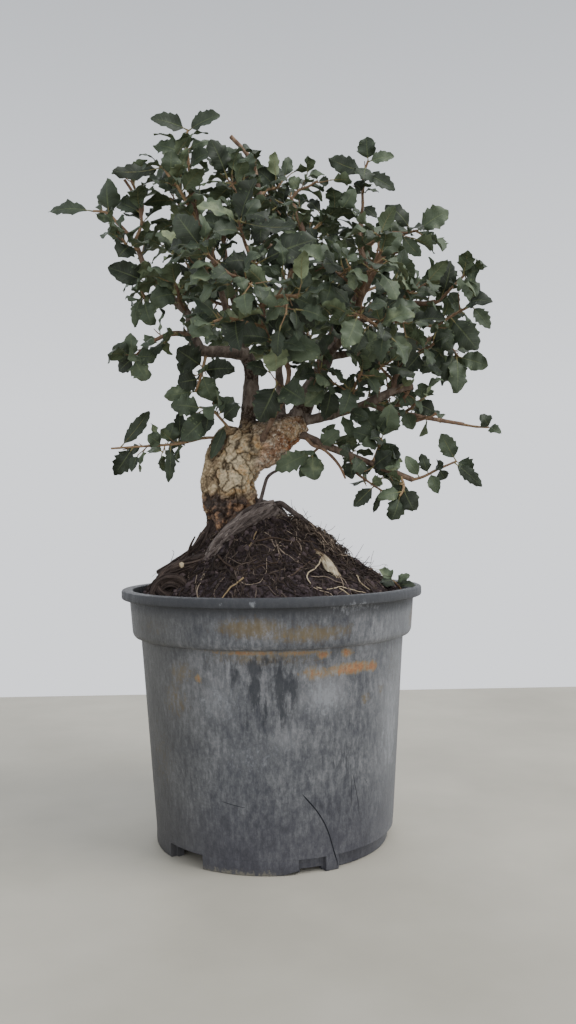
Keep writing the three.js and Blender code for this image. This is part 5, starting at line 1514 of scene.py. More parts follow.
def hair_piece(materials):
    draw = seeded(HAIR_SEED)
    shape = Shape()
    for i in range(HAIRS):
        stray = i < STRAY_HAIRS
        points = hair_path(draw, stray)
        if len(points) < 3:
            continue
        radius = between(draw, STRAY_RADIUS if stray else HAIR_RADIUS)
        add_hair(shape, points, radius, 2, draw() ** 2.5, draw())
    for _ in range(DARK_STRANDS):
        points = hair_path(draw, False)
        if len(points) > 3:
            add_hair(shape, points, between(draw, STRAND_RADIUS), 2.4, 0.25 * draw(), draw())
    for _ in range(FRIZZ_HAIRS):
        points = frizz_path(draw)
        add_hair(shape, points, between(draw, FRIZZ_RADIUS), 1.8, 0.3 + 0.7 * draw(), draw())
    return shape.piece("fine_roots", materials, "wood", [], 60)


def thread_piece(materials):
    shape = Shape()
    for radius, shade, spots in SURFACE_THREADS.values():
        points = np.array([surface_point(x, y, radius * 0.9 + 0.7) for x, y in spots])
        course = smooth_path(tapered(points, radius, THREAD_TAPER), 2)
        for point in course:
            point[:3] += np.array(noise.noise_vector(Vector(point[:3]) / 4.5)) * 0.8
        shape.add_tube(course, 7, fibre_relief(shade * 9, 0.12), tone=shade, shade=shade)
    shape.add_tube(smooth_path(STICK, 2), 7, tone=STICK_SHADE, shade=STICK_SHADE)
    return shape.piece("surface_roots", materials, "wood", [], 60)


# Pot
# Steps out and up from the top of the body to the collar
COLLAR_STEP = [
    (-0.35, -6.5), (-0.25, -4.7), (-0.15, -3.1), (-0.1, -1.7), (0, -0.6), (0.5, 0), (2.3, 0.2),
    (3.9, 0.8), (4.8, 2), (5.3, 3.6), (5.5, 6),
]
# Heights between which the collar is straight
COLLAR_HEIGHTS = (131.1, 151.6)
# Steps out and up from the rim's top corner: round the rolled lip, then down the inside
RIM_ROLL = [
    (-5, -6.3), (-4.6, -5.6), (-3.6, -5.45), (-0.8, -5.5), (-0.25, -5.2), (0, -4.5), (0, -2.7),
    (0, -1.1), (-0.25, -0.4), (-0.8, -0.05), (-2, 0), (-5, 0), (-6.1, -0.05), (-6.8, -0.4),
    (-7, -1.2), (-7.4, -7.2), (-8.1, -19.2), (-8.6, -27.7),
]
# Points fewer than this many steps from the end of the outline are inside the pot, where the material
# paints shade
INSIDE_POINTS = 10
# How far the foot is chewed away: between two angles in degrees, and elsewhere
CHEWED_SPAN = (-34, 10)
CHEW = (0.9, 0.4)
BREAK_DEPTH = 1.9
DENT = 0.0022
# Stains by kind: angle from the front, height, half width in degrees, half height, strength
STAINS = {
    "rust": [
        (-8, 126, 17, 1.7, 0.7), (10, 125.6, 14, 1.7, 0.76), (-27, 126.6, 8, 1.2, 0.4),
        (20.2, 124.0, 3.0, 2.4, 1.0), (30.4, 124.0, 3.2, 2.6, 1.0), (33, 114.8, 13, 3.6, 1.0),
        (44, 114, 4, 3.2, 1.0), (17, 114, 9, 5, 0.62), (-31, 110.8, 2.0, 3.2, 0.75),
        (8, 136, 20, 3, 0.3), (190, 125.5, 18, 1.6, 0.9), (110, 114, 8, 4, 0.7),
    ],
    "olive": [
        (-8, 140.5, 16, 7.0, 1.0), (13, 136.6, 20, 6, 0.95), (26, 138, 7, 5, 0.75),
        (-40, 113, 10, 8, 0.7), (41, 96, 3.5, 4, 0.9), (51, 99, 3, 5, 0.7), (-44, 96, 12, 16, 0.6),
        (-2, 122.5, 30, 5, 0.7), (62, 112, 10, 20, 0.45), (-52, 138, 18, 8, 0.45),
        (-60, 60, 16, 36, 0.45), (74, 138, 8, 9, 0.7), (150, 138, 14, 6, 0.8),
        (-110, 112, 10, 9, 0.7), (118, 100, 12, 14, 0.6),
    ],
    "drip": [
        (-15.8, 115, 2.0, 8, 1.0), (-7.4, 118, 4.5, 6, 1.0), (-7.2, 106, 2.4, 13, 1.0),
        (-3.4, 94, 1.5, 11, 0.95), (2.4, 109, 3.4, 12, 1.0), (3.6, 92, 1.6, 13, 0.9),
        (7.6, 106, 1.9, 14, 1.0), (-11, 88, 1.2, 8, 0.7), (-2, 121.6, 11, 2.6, 0.7),
        (-24, 121, 12, 2.4, 0.42), (-50, 118, 16, 3, 0.3), (30, 62, 9, 12, 0.5),
        (180, 108, 3, 20, 0.9), (160, 100, 2, 16, 0.8), (100, 90, 4, 24, 0.7),
        (-130, 96, 3, 22, 0.8),
    ],
    "pale": [
        (-17.3, 154, 1.4, 2.4, 0.62), (-6.5, 154, 1.3, 2.6, 0.8), (30, 150, 20, 6, 0.6),
        (22, 100, 14, 16, 0.75), (-22, 98, 14, 18, 0.6), (62, 74, 14, 44, 0.7),
        (-10, 66, 20, 14, 0.5), (4, 76, 8, 10, 0.6), (40, 126, 14, 5, 0.6),
    ],
}
# Cracks and scratches: radius of the line, then angle and height of its points
POT_LINES = [
    (0.42, [(11.0, 46.8), (13.6, 42.6), (17.2, 36.8), (20.8, 29.5), (23.6, 21.5), (26, 11.8),
            (27.7, 5), (28.1, 1.5)]),
    (0.16, [(-29.2, 43.7), (-20.8, 40.9), (-14.5, 39.2), (-12.5, 38.9)]),
    (0.2, [(34.6, 55.3), (35.9, 50), (37.2, 43.6), (38.9, 35), (39.5, 27.2)]),
    (0.14, [(39.8, 53.4), (43.5, 46.5), (47.6, 39.3)]),
    (0.14, [(33.8, 59), (34.6, 46), (34.9, 30)]),
]


def stain_fields(angles, heights):
    """The strength of each kind of stain at points of the pot, one row a kind."""
    fields = np.zeros((len(STAINS), len(angles)))
    for field, stains in zip(fields, STAINS.values()):
        for angle, height, wide, high, strength in stains:
            away = (angles - angle + 180) % 360 - 180
            spot = strength * np.exp(-(away / wide) ** 2 - ((heights - height) / high) ** 2)
            np.maximum(field, spot, out=field)
    return fields


def body_radius(height):
    share = (height - FOOT_HEIGHT) / (COLLAR_BOTTOM - FOOT_HEIGHT)
    return BASE_RADIUS + (BODY_TOP_RADIUS - BASE_RADIUS) * share


def inner_radius(height):
    return body_radius(min(height, COLLAR_BOTTOM)) - WALL


def foot_profile(foot_out, low, draining):
    """Radius and height from the middle of the underside to the foot of the body."""
    foot = BASE_RADIUS - 0.05 if foot_out else FOOT_RADIUS
    inner_foot = FOOT_RADIUS - FOOT_WIDTH
    return [
        (MIDDLE, FLOOR_UNDER), (inner_foot * 0.5, FLOOR_UNDER), (inner_foot, FLOOR_UNDER),
        (inner_foot, low), (foot - 0.9, low), (foot - 0.25, low + 0.25),
        (foot, low + 0.9 * (1 - draining)), (foot, FOOT_HEIGHT - 0.7), (foot, FOOT_HEIGHT),
        (BASE_RADIUS, FOOT_HEIGHT + 0.15), (BASE_RADIUS, FOOT_HEIGHT + 0.9),
    ]


def sloping(start, end, shares):
    """Points at shares of the way from one radius and height to another."""
    return [(start[0] + (end[0] - start[0]) * share, start[1] + (end[1] - start[1]) * share)
            for share in shares]


def wall_profile():
    """Radius and height up the outside of the body, over the rim and down the inside."""
    body = sloping((BASE_RADIUS, FOOT_HEIGHT), (BODY_TOP_RADIUS, COLLAR_BOTTOM),
                   np.linspace(0.05, 0.93, 40))
    collar_step = [(BODY_TOP_RADIUS + out, COLLAR_BOTTOM + up) for out, up in COLLAR_STEP]
    collar = sloping((COLLAR_LOW_RADIUS, COLLAR_HEIGHTS[0]), (COLLAR_TOP_RADIUS, COLLAR_HEIGHTS[1]),
                     np.linspace(0.2, 0.9, 8))
    rim = [(RIM_RADIUS + out, RIM_TOP + up) for out, up in RIM_ROLL]
    inside = [
        (inner_radius(COLLAR_BOTTOM) + 1, 127.6), (inner_radius(COLLAR_BOTTOM), 126.7),
        (inner_radius(70), 70), (inner_radius(FLOOR_TOP), FLOOR_TOP), (MIDDLE, FLOOR_TOP),
    ]
    return body + collar_step + collar + rim + inside


WALL_PROFILE = wall_profile()


def pot_slice(angle):
    """The points of the pot's wall at an angle from the front, in degrees."""
    foot_out = any(low <= a <= high for low, high in FOOT_SPANS for a in (angle, angle + 360))
    tops = [top for (low, high), top in zip(DRAIN_SPANS, DRAIN_TOPS) if low <= angle <= high]
    spot = Vector((angle / 3.1, 0, 0))
    worn = max(0, noise.noise(spot) * 1.1 + noise.noise(spot * 3.7) * 0.6 - 0.15)
    broken = BREAK_DEPTH * float(smoothstep(2, 10, angle)) * (angle <= CHEWED_SPAN[1])
    chewed = CHEWED_SPAN[0] < angle < CHEWED_SPAN[1]
    chew = worn * (CHEW[0] if chewed else CHEW[1]) + broken * foot_out
    foot = foot_profile(foot_out, tops[0] if tops else chew, bool(tops))
    profile = np.array(foot + WALL_PROFILE)
    radian = math.radians(angle)
    dent = 1 + DENT * noise.noise(Vector((math.cos(radian) * 1.3, math.sin(radian) * 1.3, 0)))
    radii = profile[:, 0] * np.where(profile[:, 1] > 12, dent, 1)
    return np.stack([radii * math.sin(radian), -radii * math.cos(radian), profile[:, 1]], 1)


def pot_piece(materials):
    edges = [edge for span in FOOT_SPANS + DRAIN_SPANS for edge in span]
    angles = sorted([k * 1.5 - 180 for k in range(240)]
                    + [(edge + 180) % 360 - 180 + side for edge in edges for side in (-0.06, 0.06)])
    grid = np.array([pot_slice(angle) for angle in angles])
    count, length = grid.shape[:2]
    faces = []
    for k in range(count):
        a, b = k * length, (k + 1) % count * length
        faces.extend((a + i, b + i, b + i + 1, a + i + 1) for i in range(length - 1))
    faces.append(tuple(k * length for k in reversed(range(count))))
    faces.append(tuple(k * length + length - 1 for k in range(count)))
    shape = Shape()
    shape.add(grid.reshape(-1, 3), faces)
    pot = shape.piece("pot_shell", materials, "pot", ["pot"], 32)
    degrees = np.repeat(angles, length)
    inside = np.tile(np.arange(length) > length - INSIDE_POINTS, count)
    fields = stain_fields(degrees, shape.points[0][:, 2])
    # Pale wear, the inside that takes painted shade, and the turn round the pot
    wear_and_shade = np.stack([fields[3], inside, degrees / 360], 1)
    keep_numbers(pot.data, {"stain": fields[:3].T, "wear_and_shade": wear_and_shade})
    return pot


def crack_piece(materials):
    shape = Shape()
    for radius, spots in POT_LINES:
        path = []
        for angle, height in spots:
            reach = body_radius(max(height, FOOT_HEIGHT)) - 0.62 * radius
            radian = math.radians(angle)
            path.append((reach * math.sin(radian), -reach * math.cos(radian), height, radius))
        path[0] = path[0][:3] + (radius * 0.3,)
        path[-1] = path[-1][:3] + (radius * 0.5,)
        shape.add_tube(smooth_path(path, 1.5), 6)
    return shape.piece("pot_cracks", materials, "pot", [], 60)


# Materials

def color(code):
    """A linear colour from a hex code."""
    parts = [int(code[i:i + 2], 16) / 255 for i in (0, 2, 4)]
    return tuple(p / 12.92 if p < 0.04045 else ((p + 0.055) / 1.055) ** 2.4 for p in parts)


def dimmed(code, share):
    return tuple(part * share for part in color(code))


def rgba(tint):
    """A hex code or a linear colour as a socket takes it."""
    return (*(color(tint) if isinstance(tint, str) else tint), 1)


class Paint:
    """A material whose nodes are added one by one. Tints are sockets, hex codes or colours."""

    def __init__(self, name, roughness, specular):
        self.material = bpy.data.materials.new(name)
        self.material.use_nodes = True
        self.tree = self.material.node_tree
        self.shader = self.tree.nodes["Principled BSDF"]
        self.shader.inputs["Roughness"].default_value = roughness
        self.shader.inputs["Specular IOR Level"].default_value = specular
        self.space = self.node("TexCoord").outputs["Object"]

    def node(self, kind, values=None, **settings):
        made = self.tree.nodes.new("ShaderNode" + kind)
        for key, value in settings.items():
            setattr(made, key, value)
        for key, value in (values or {}).items():
            if isinstance(value, bpy.types.NodeSocket):
                self.tree.links.new(value, made.inputs[key])
            else:
                made.inputs[key].default_value = value
        return made

    def place(self, name="place"):
        """The three numbers of a vertex attribute."""
        made = self.node("Attribute", attribute_name=name)
        return self.node("SeparateXYZ", {0: made.outputs["Vector"]}).outputs

    def axes(self):
        return self.node("SeparateXYZ", {0: self.space}).outputs

    def stretched(self, x, y, z, turn=(0, 0, 0)):
        scaled = self.node("Mapping", {"Vector": self.space, "Scale": (x, y, z), "Rotation": turn})
        return scaled.outputs["Vector"]

    def noise(self, scale, detail=4, roughness=0.55, space=None):
        values = {"Vector": space or self.space, "Scale": scale, "Detail": detail,
                  "Roughness": roughness}
        return self.node("TexNoise", values).outputs["Fac"]

    def ramp(self, value, stops):
        made = self.node("ValToRGB", {"Fac": value})
        elements = made.color_ramp.elements
        while len(elements) < len(stops):
            elements.new(0.5)
        for element, (at, tint) in zip(elements, stops):
            element.position = at
            element.color = rgba(tint)
        return made.outputs["Color"]

    def mix(self, share, a, b):
        ends = {6: a, 7: b}
        values = {key: end if isinstance(end, bpy.types.NodeSocket) else rgba(end)
                  for key, end in ends.items()}
        return self.node("Mix", {0: share, **values}, data_type="RGBA").outputs[2]

    def cover(self, body, tint, share, most):
        """The body with a tint over it, up to the most where the share is 1."""
        return self.mix(self.times(share, most), body, tint)

    def math(self, operation, a, b=0.0, clamp=False):
        return self.node("Math", {0: a, 1: b}, operation=operation, use_clamp=clamp).outputs[0]

    def times(self, a, b):
        return self.math("MULTIPLY", a, b)

    def madd(self, a, b, c, clamp=False):
        """a * b + c."""
        made = self.node("Math", {0: a, 1: b, 2: c}, operation="MULTIPLY_ADD", use_clamp=clamp)
        return made.outputs[0]

    def fade(self, value, start, end):
        """0 where the value is at start, 1 where it is at end, and between them in between."""
        values = {"Value": value, "From Min": start, "From Max": end}
        return self.node("MapRange", values, interpolation_type="SMOOTHSTEP").outputs[0]

    def fade_mm(self, value, span):
        """A fade between two places in millimetres."""
        return self.fade(value, span[0] * MM, span[1] * MM)

    def blotch(self, scale, detail=5, roughness=0.6, space=None):
        """Noise that reaches from 0 to 1."""
        return self.fade(self.noise(scale, detail, roughness, space), 0.32, 0.68)

    def set(self, socket, value):
        self.tree.links.new(value, self.shader.inputs[socket])

    def bump(self, height, strength, distance):
        made = self.node("Bump", {"Height": height, "Strength": strength, "Distance": distance * MM})
        self.set("Normal", made.outputs["Normal"])


def leaf_paint(name, stops, vein, midrib, vein_share, roughness, specular):
    paint = Paint(name, roughness, specular)
    along, across, shade = paint.place()
    value = paint.math("ADD", paint.madd(paint.noise(140, 3), 0.6, -0.3), shade, True)
    fine = paint.noise(900, 4)
    darkest = stops[0][1]
    base = paint.cover(paint.ramp(value, stops), dimmed(darkest, 0.5), fine, 0.4)
    reach = paint.math("ABSOLUTE", across)
    course = paint.madd(reach, -1.5, paint.times(along, 9.0))
    veins = paint.madd(paint.math("PINGPONG", course, 0.5), -9.0, 1.0, True)
    veins = paint.times(veins, paint.math("SUBTRACT", 1.0, reach, True))
    colored = paint.cover(base, vein, veins, vein_share)
    rib = paint.madd(reach, -12.0, 1.0, True)
    rib = paint.times(rib, paint.math("SUBTRACT", 1.2, along, True))
    paint.set("Base Color", paint.cover(colored, midrib, rib, 0.5))
    paint.set("Roughness", paint.madd(paint.noise(350, 3), 0.3, roughness - 0.15))
    height = paint.math("SUBTRACT", paint.times(fine, 0.35), paint.math("ADD", veins, rib))
    paint.bump(height, 0.6, 0.25)
    return paint.material


def twig_paint(name, stops, roughness):
    paint = Paint(name, roughness, 0.3)
    shade = paint.place()[2]
    value = paint.math("ADD", paint.times(paint.noise(500, 5), 0.7), paint.times(shade, 0.4), True)
    paint.set("Base Color", paint.ramp(value, stops))
    paint.bump(paint.noise(1000, 4), 0.5, 0.3)
    return paint.material


def bark_paint():
    paint = Paint("limb_bark", 0.85, 0.25)
    radius = paint.place()[2]
    streak = paint.noise(260, 6, 0.6, paint.stretched(1, 1, 0.35))
    old = paint.ramp(streak, [(0.25, "302a29"), (0.5, "61564f"), (0.75, "8b8077")])
    young = paint.ramp(streak, [(0.25, "4b382f"), (0.5, "745c4b"), (0.8, "a08466")])
    mixed = paint.mix(paint.madd(radius, -0.5, 1.5, True), old, young)
    spots = paint.fade(paint.noise(700, 2), 0.58, 0.7)
    paint.set("Base Color", paint.cover(mixed, "8d8578", spots, 0.3))
    paint.bump(streak, 0.9, 1.2)
    return paint.material


# Tones of the cork from its darkest to its lightest
CORK_TONES = {
    "cream": [(0.12, "9c744a"), (0.3, "deb37c"), (0.46, "fbd7a4"), (0.66, "ffedca")],
    "olive": [(0.15, "52463c"), (0.4, "8c7a64"), (0.64, "bca583"), (0.84, "ecd5ae")],
    "dusky": [(0.15, "312b29"), (0.42, "57504c"), (0.6, "857063"), (0.76, "bd9270"),
              (0.92, "ecd0a8")],
    "pink": [(0.12, "96745f"), (0.34, "e0b291"), (0.54, "fdd9b8"), (0.8, "fff1de")],
    "rusty": [(0.12, "95553a"), (0.34, "e59162"), (0.54, "ffc090"), (0.8, "ffe8c6")],
}
# Where one tone gives way to the next, in millimetres across and up the trunk
OLIVE_SIDE = (-26, -38)
PINK_SIDE = (-11, -5)
RUSTY_SIDE = (4, 13)
ARM_SIDE = (-14, -2)
DUSKY_FOOT = (220, 211)
OLIVE_TOP = (242, 256)
BARK_TOP = (259, 268)


def cork_paint():
    paint = Paint("cork", 0.92, 0.2)
    _, plate, chip = paint.place()
    deep, shallow, _ = paint.place("crack")
    x, _, z = paint.axes()
    grain = paint.blotch(800, 6, 0.7)
    mottle = paint.blotch(120, 5, 0.6)
    wander = paint.madd(paint.noise(60, 4), 0.024, -0.012)
    level = paint.madd(plate, 0.36, paint.times(chip, 0.34))
    level = paint.madd(grain, 0.22, paint.madd(mottle, 0.22, level))
    cream, olive, dusky, pink, rusty = [paint.ramp(level, stops) for stops in CORK_TONES.values()]
    side = paint.math("ADD", x, wander)
    tall = paint.math("ADD", z, wander)
    body = paint.mix(paint.fade_mm(side, OLIVE_SIDE), cream, olive)
    body = paint.cover(body, olive, paint.fade(mottle, 0.6, 0.84), 0.6)
    body = paint.mix(paint.fade_mm(side, PINK_SIDE), body, pink)
    body = paint.mix(paint.fade_mm(side, RUSTY_SIDE), body, rusty)
    body = paint.mix(paint.fade_mm(tall, DUSKY_FOOT), body, dusky)
    body = paint.cover(body, olive, paint.fade_mm(tall, OLIVE_TOP), 0.7)
    arm = paint.fade_mm(side, ARM_SIDE)
    flecks = paint.times(paint.fade(paint.noise(620, 3, 0.6), 0.54, 0.62), arm)
    body = paint.cover(body, "5e3828", flecks, 0.56)
    glints = paint.times(paint.fade(paint.noise(520, 3, 0.6), 0.46, 0.38), arm)
    body = paint.cover(body, "fff4e2", glints, 0.8)
    bark = paint.ramp(grain, [(0.2, "3d3532"), (0.5, "5f544e"), (0.9, "857a70")])
    body = paint.mix(paint.fade_mm(tall, BARK_TOP), body, bark)
    groove = paint.times(paint.madd(shallow, -1.0, 1.0), paint.madd(grain, -0.35, 0.65))
    body = paint.mix(groove, body, "4a3524")
    body = paint.cover(body, "2a1e17", paint.madd(deep, -1.0, 1.0), 0.88)
    paint.set("Base Color", body)
    paint.bump(paint.madd(mottle, 0.4, grain), 0.9, 0.9)
    return paint.material


def root_paint(name, stops):
    paint = Paint(name, 0.9, 0.2)
    travelled, turn, shade = paint.place()
    along_root = {0: paint.times(travelled, 0.05), 1: paint.math("SINE", turn),
                  2: paint.math("COSINE", turn)}
    streak = paint.noise(5.6, 6, 0.65, paint.node("CombineXYZ", along_root).outputs[0])
    value = paint.madd(paint.noise(160, 4), 0.35, paint.madd(shade, 0.3, -0.1))
    paint.set("Base Color", paint.ramp(paint.madd(streak, 0.55, value), stops))
    paint.bump(paint.madd(paint.noise(900, 4), 0.4, streak), 0.9, 1.0)
    return paint.material


def thread_paint(name, stops):
    paint = Paint(name, 0.85, 0.25)
    tone = paint.place()[1]
    value = paint.math("ADD", tone, paint.madd(paint.noise(600, 3), 0.3, -0.15))
    paint.set("Base Color", paint.ramp(value, stops))
    paint.bump(paint.noise(1500, 3), 0.4, 0.2)
    return paint.material


def soil_paint():
    paint = Paint("soil", 1.0, 0.1)
    clod = paint.noise(330, 6, 0.7)
    stops = [(0.3, "231d1d"), (0.5, "3e3638"), (0.66, "564d51"), (0.85, "706568")]
    paint.set("Base Color", paint.ramp(clod, stops))
    paint.bump(paint.math("ADD", clod, paint.noise(1100, 4)), 1.0, 1.6)
    return paint.material


def crumb_paint():
    """Dark crumbs, some of them lighter, and the pale pebble past the last dark stop."""
    paint = Paint("soil_crumbs", 1.0, 0.1)
    tone = paint.place()[0]
    value = paint.math("ADD", paint.times(tone, 0.75), paint.times(paint.noise(900, 4), 0.3))
    stops = [(0.1, "231e1e"), (0.55, "3f3636"), (0.85, "564b4c"), (0.985, "64574f"), (1.0, "c9b899")]
    paint.set("Base Color", paint.ramp(value, stops))
    paint.bump(paint.noise(1400, 4), 0.9, 0.6)
    return paint.material


def stain_patch(paint, field, rough, gain, most, spread=0.75, sharp=3.2):
    """How much a stain covers: a field with an edge that roughness eats into."""
    edge = paint.math("SUBTRACT", paint.times(field, gain), paint.madd(rough, spread, 0.1))
    return paint.times(paint.math("MULTIPLY", edge, sharp, True), most)


def plastic_with_painted_light(paint, strokes, slant, scuff, pale):
    """The grey of the pot before its stains: brushed, with painted shade to the left, below and under
    the rim, and painted light to the right.
    """
    x, _, z = paint.axes()
    level = paint.madd(strokes, 0.27, paint.madd(paint.blotch(34, 5, 0.65), 0.2, 0.05))
    level = paint.madd(slant, 0.2, level)
    level = paint.madd(scuff, 0.19, level)
    level = paint.madd(pale, 0.1, level)
    # Painted shade: the body grows darker towards the floor
    level = paint.math("ADD", level, paint.madd(paint.fade_mm(z, (0, 90)), 0.16, -0.1))
    body = paint.ramp(level, [(0.12, "313338"), (0.36, "474950"), (0.56, "5e6064"), (0.8, "7b7c80"),
                              (1.0, "969799")])
    # More painted shade low on the body
    body = paint.cover(body, "45434c", paint.fade_mm(z, (60, 0)), 0.4)
    # Painted shade on the left, the side away from the key light
    body = paint.cover(body, "43423d", paint.fade_mm(x, (-20, -80)), 0.62)
    # Painted light on the right, the side towards the key light
    body = paint.cover(body, "9a9da1", paint.fade_mm(x, (45, 82)), 0.3)
    # Painted shade under the rolled rim, carried up over the lip
    return paint.cover(body, "313338", paint.fade_mm(z, (142, 150.5)), 0.82)


def pot_paint():
    paint = Paint("weathered_plastic", 0.6, 0.35)
    rust, olive, drip = paint.place("stain")
    pale, inside, turn = paint.place("wear_and_shade")
    strokes = paint.blotch(330, 7, 0.7, paint.stretched(1, 1, 0.3, (0, 0.12, 0)))
    slant = paint.blotch(400, 6, 0.72, paint.stretched(1, 1, 0.36, (0.2, -0.3, 0)))
    scuff = paint.blotch(480, 8, 0.78)
    broken = paint.madd(strokes, 0.55, paint.times(scuff, 0.45))
    blotted = paint.madd(slant, 0.5, paint.times(scuff, 0.5))
    ochre = paint.ramp(scuff, [(0.15, "7c5944"), (0.5, "9f6540"), (0.8, "a77d50")])
    body = plastic_with_painted_light(paint, strokes, slant, scuff, pale)
    for tint, field, rough, *edge in (
        ("9da0a5", pale, broken, 1.0, 0.55),
        ("716039", olive, blotted, 1.28, 0.6, 0.95, 1.6),
        ("2b2e35", drip, strokes, 1.3, 0.78, 0.7, 1.9),
        ("97804f", rust, blotted, 1.8, 0.46, 0.95, 2.4),
        (ochre, rust, blotted, 1.28, 0.72, 1.12, 2.2),
    ):
        body = paint.mix(stain_patch(paint, field, rough, *edge), body, tint)
    # Painted shade on the inside of the rim and the wall
    body = paint.cover(body, "1f2126", inside, 0.88)
    front = paint.times(paint.fade(turn, -0.1, -0.085), paint.fade(turn, 0.012, -0.01))
    low = paint.fade_mm(paint.madd(blotted, 0.006, paint.axes()[2]), (5.6, 3.2))
    body = paint.cover(body, "8d8979", paint.times(low, front), 0.55)
    paint.set("Base Color", body)
    paint.set("Roughness", paint.madd(strokes, 0.2, 0.5))
    paint.bump(paint.madd(scuff, 0.6, strokes), 0.3, 0.4)
    return paint.material


def crack_paint():
    paint = Paint("crack", 0.9, 0.2)
    stops = [(0.3, dimmed("26282e", 0.7)), (0.7, "26282e")]
    paint.set("Base Color", paint.ramp(paint.noise(500, 3), stops))
    return paint.material


# Camera, floor and light
# Near and far edge of the floor, and half its width, in metres
FLOOR_NEAR = -2.4
FLOOR_FAR = 0.47
FLOOR_SIDE = 2.2
WORLD_STRENGTH = 1.5
WORLD_LOW = (0.84, 0.86, 0.9, 1)
WORLD_HIGH = (0.45, 0.47, 0.5, 1)
# Place and target in metres, side of the square in metres, watts and tint
LIGHTS = {
    "key": ((1.0, -0.5, 1.9), (0, 0, 0.25), 1.0, 34, (1, 0.98, 0.95)),
    "fill": ((-1.5, -0.9, 1.2), (0, 0, 0.25), 1.2, 4, (0.95, 0.97, 1)),
    "front": ((0.35, -1.9, 0.75), (0, 0, 0.28), 1.4, 7, (1, 0.98, 0.96)),
    "back": ((-0.3, 1.5, 1.5), (0, 0, 0.3), 1.2, 14, (0.97, 0.98, 1)),
}


def place_camera():
    data = bpy.data.cameras.new("photo_camera")
    data.lens = CAMERA_LENS
    data.sensor_width = CAMERA_SENSOR
    camera = link_object("photo_camera", data)
    pitch, roll, yaw = (math.radians(a) for a in (CAMERA_PITCH, CAMERA_ROLL, CAMERA_YAW))
    level = math.cos(pitch)
    forward = np.array([-math.sin(yaw) * level, math.cos(yaw) * level, math.sin(pitch)])
    right = np.array([math.cos(yaw), math.sin(yaw), 0])
    up = cross(right, forward)
    rolled_right = right * math.cos(roll) + up * math.sin(roll)
    matrix = np.eye(4)
    matrix[:3, 0] = rolled_right
    matrix[:3, 1] = cross(rolled_right, forward)
    matrix[:3, 2] = -forward
    matrix[:3, 3] = np.array(CAMERA_PLACE) * MM
    camera.matrix_world = Matrix(matrix.tolist())
    bpy.context.scene.camera = camera


def floor_paint():
    paint = Paint("pale_floor", 0.7, 0.3)
    paint.set("Base Color", paint.ramp(paint.noise(9, 4), [(0.3, "a6a296"), (0.7, "b5b1a5")]))
    return paint.material


def build_floor():
    mesh = bpy.data.meshes.new("floor")
    corners = [(-FLOOR_SIDE, FLOOR_NEAR, 0), (FLOOR_SIDE, FLOOR_NEAR, 0), (FLOOR_SIDE, FLOOR_FAR, 0),
               (-FLOOR_SIDE, FLOOR_FAR, 0)]
    mesh.from_pydata(corners, [], [(0, 1, 2, 3)])
    floor = link_object("floor", mesh)
    mesh.materials.append(floor_paint())


def build_world():
    """Soft light from all round that dims towards the top."""
    world = bpy.data.worlds.new("studio")
    world.use_nodes = True
    tree = world.node_tree
    place = tree.nodes.new("ShaderNodeTexCoord")
    parts = tree.nodes.new("ShaderNodeSeparateXYZ")
    ramp = tree.nodes.new("ShaderNodeValToRGB")
    ramp.color_ramp.elements[0].color = WORLD_LOW
    ramp.color_ramp.elements[0].position = 0.12
    ramp.color_ramp.elements[1].color = WORLD_HIGH
    ramp.color_ramp.elements[1].position = 0.55
    background = tree.nodes["Background"]
    background.inputs["Strength"].default_value = WORLD_STRENGTH
    tree.links.new(place.outputs["Generated"], parts.inputs[0])
    tree.links.new(parts.outputs["Z"], ramp.inputs["Fac"])
    tree.links.new(ramp.outputs["Color"], background.inputs["Color"])
    bpy.context.scene.world = world


def add_light(name, place, target, side, power, tint):
    data = bpy.data.lights.new(name, "AREA")
    data.size = side
    data.energy = power
    data.color = tint
    light = link_object(name, data)
    light.location = place
    light.rotation_euler = (Vector(target) - Vector(place)).to_track_quat("-Z", "Y").to_euler()


# Everything together
# Seed of what makes one leaf look unlike another
LOOK_SEED = 99
# Owners in the room: stubs, and the first of the limbs that carry shoots
STUB_OWNER = -2
FIRST_LIMB_OWNER = 1000


def leafy_paints():
    """The materials of the leafy pieces, in the order of their slots."""
    upper = [(0.05, "2a3126"), (0.45, "414c3c"), (0.8, "5d6a53"), (1.0, "939e78")]
    under = [(0.05, "4c5842"), (0.5, "626e54"), (1.0, "828d6b")]
    stalk = [(0.1, "4b4a30"), (0.5, "706b46"), (0.9, "938a5f")]
    twig = [(0.15, "46362c"), (0.5, "745d49"), (0.9, "a38866")]
    return [
        leaf_paint("leaf_upper", upper, "5c6b4c", "7a8659", 0.26, 0.58, 0.3),
        leaf_paint("leaf_under", under, "8a9474", "9ca276", 0.4, 0.74, 0.26),
        twig_paint("leaf_stalk", stalk, 0.6),
        twig_paint("twig_bark", twig, 0.75),
    ]


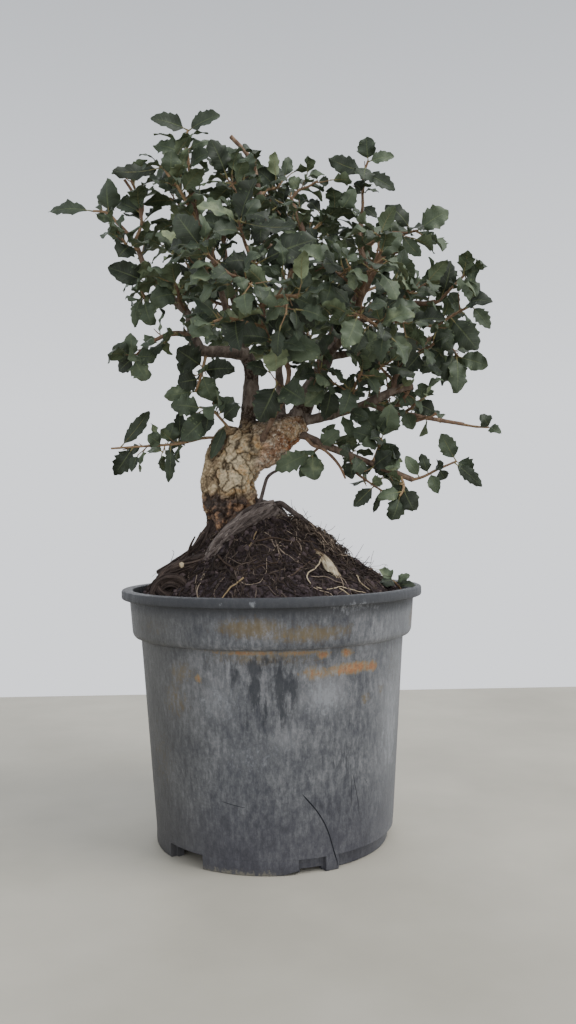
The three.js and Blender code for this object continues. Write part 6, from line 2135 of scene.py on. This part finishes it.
def leafy_pieces(paints):
    """The sprays of the solids with their extra shoots, then the shoots along the limbs."""
    room = Room()
    sprays = grow_sprays(room)
    for path in STUBS.values():
        room.keep_limb(np.array(path, float), STUB_OWNER)
    extra_draw = seeded(SHOOT_SEED)
    look_draw = seeded(LOOK_SEED)
    for owner, spray in enumerate(sprays):
        for stem in list(spray["stems"]):
            stems, leaves = grow_shoots(extra_draw, room, stem["path"], owner,
                                        FIRST_SPRAY_SHOOT, LAST_SPRAY_SHOOT)
            spray["stems"].extend(stems)
            spray["leaves"].extend(leaves)
        leafy_piece("leaves_" + spray["name"], spray["stems"], spray["leaves"], look_draw, paints,
                    ["spray_" + spray["name"]])
    for owner, (limb, first) in enumerate(SHOOTY_LIMBS.items(), FIRST_LIMB_OWNER):
        path = as_points(point[:3] for point in LIMBS[limb])
        last = BARE_TIPS.get(limb, LAST_SHOOT)
        stems, leaves = grow_shoots(extra_draw, room, path, owner, first, last)
        if leaves:
            leafy_piece("leaves_on_" + limb, stems, leaves, look_draw, paints, [])
    twig = as_points(SHOOT["twig"])
    leaves = [given_leaf(twig, entry, phase) for phase, entry in enumerate(SHOOT["leaves"])]
    leafy_piece("leaves_soil_shoot", [{"path": twig, "radius": SHOOT["radius"]}], leaves,
                look_draw, paints, ["soil_shoot"])


def root_pieces():
    draw = seeded(ROOT_SEED)
    bark = [(0.28, "332c2a"), (0.42, "5f5551"), (0.56, "857a74"), (0.78, "a69b93")]
    earthy = [(0.3, "211b19"), (0.45, "433935"), (0.6, "62554e"), (0.8, "897a70")]
    pale = [(0.3, "4a3a2c"), (0.42, "a3947b"), (0.55, "cfc3aa"), (0.8, "e2d9c6")]
    crown_roots([root_paint("root_bark", bark)], draw)
    earthy_roots([root_paint("earthy_root", earthy)], draw)
    pale_root([root_paint("pale_root", pale)])


def soil_pieces():
    fine = [(0.0, "221b18"), (0.4, "41362f"), (0.75, "655950"), (1.0, "9f8f7d")]
    surface = [(0.0, "2a211c"), (0.3, "54453a"), (0.6, "94805f"), (0.9, "c6bba6")]
    soil_piece([soil_paint()])
    crumb_piece([crumb_paint()])
    hair_piece([thread_paint("fine_roots", fine)])
    thread_piece([thread_paint("surface_roots", surface)])


place_camera()
build_floor()
build_world()
for name, values in LIGHTS.items():
    add_light(name, *values)
leafy_pieces(leafy_paints())
cork_trunk([cork_paint()])
limb_pieces([bark_paint()])
root_pieces()
soil_pieces()
pot_piece([pot_paint()])
crack_piece([crack_paint()])
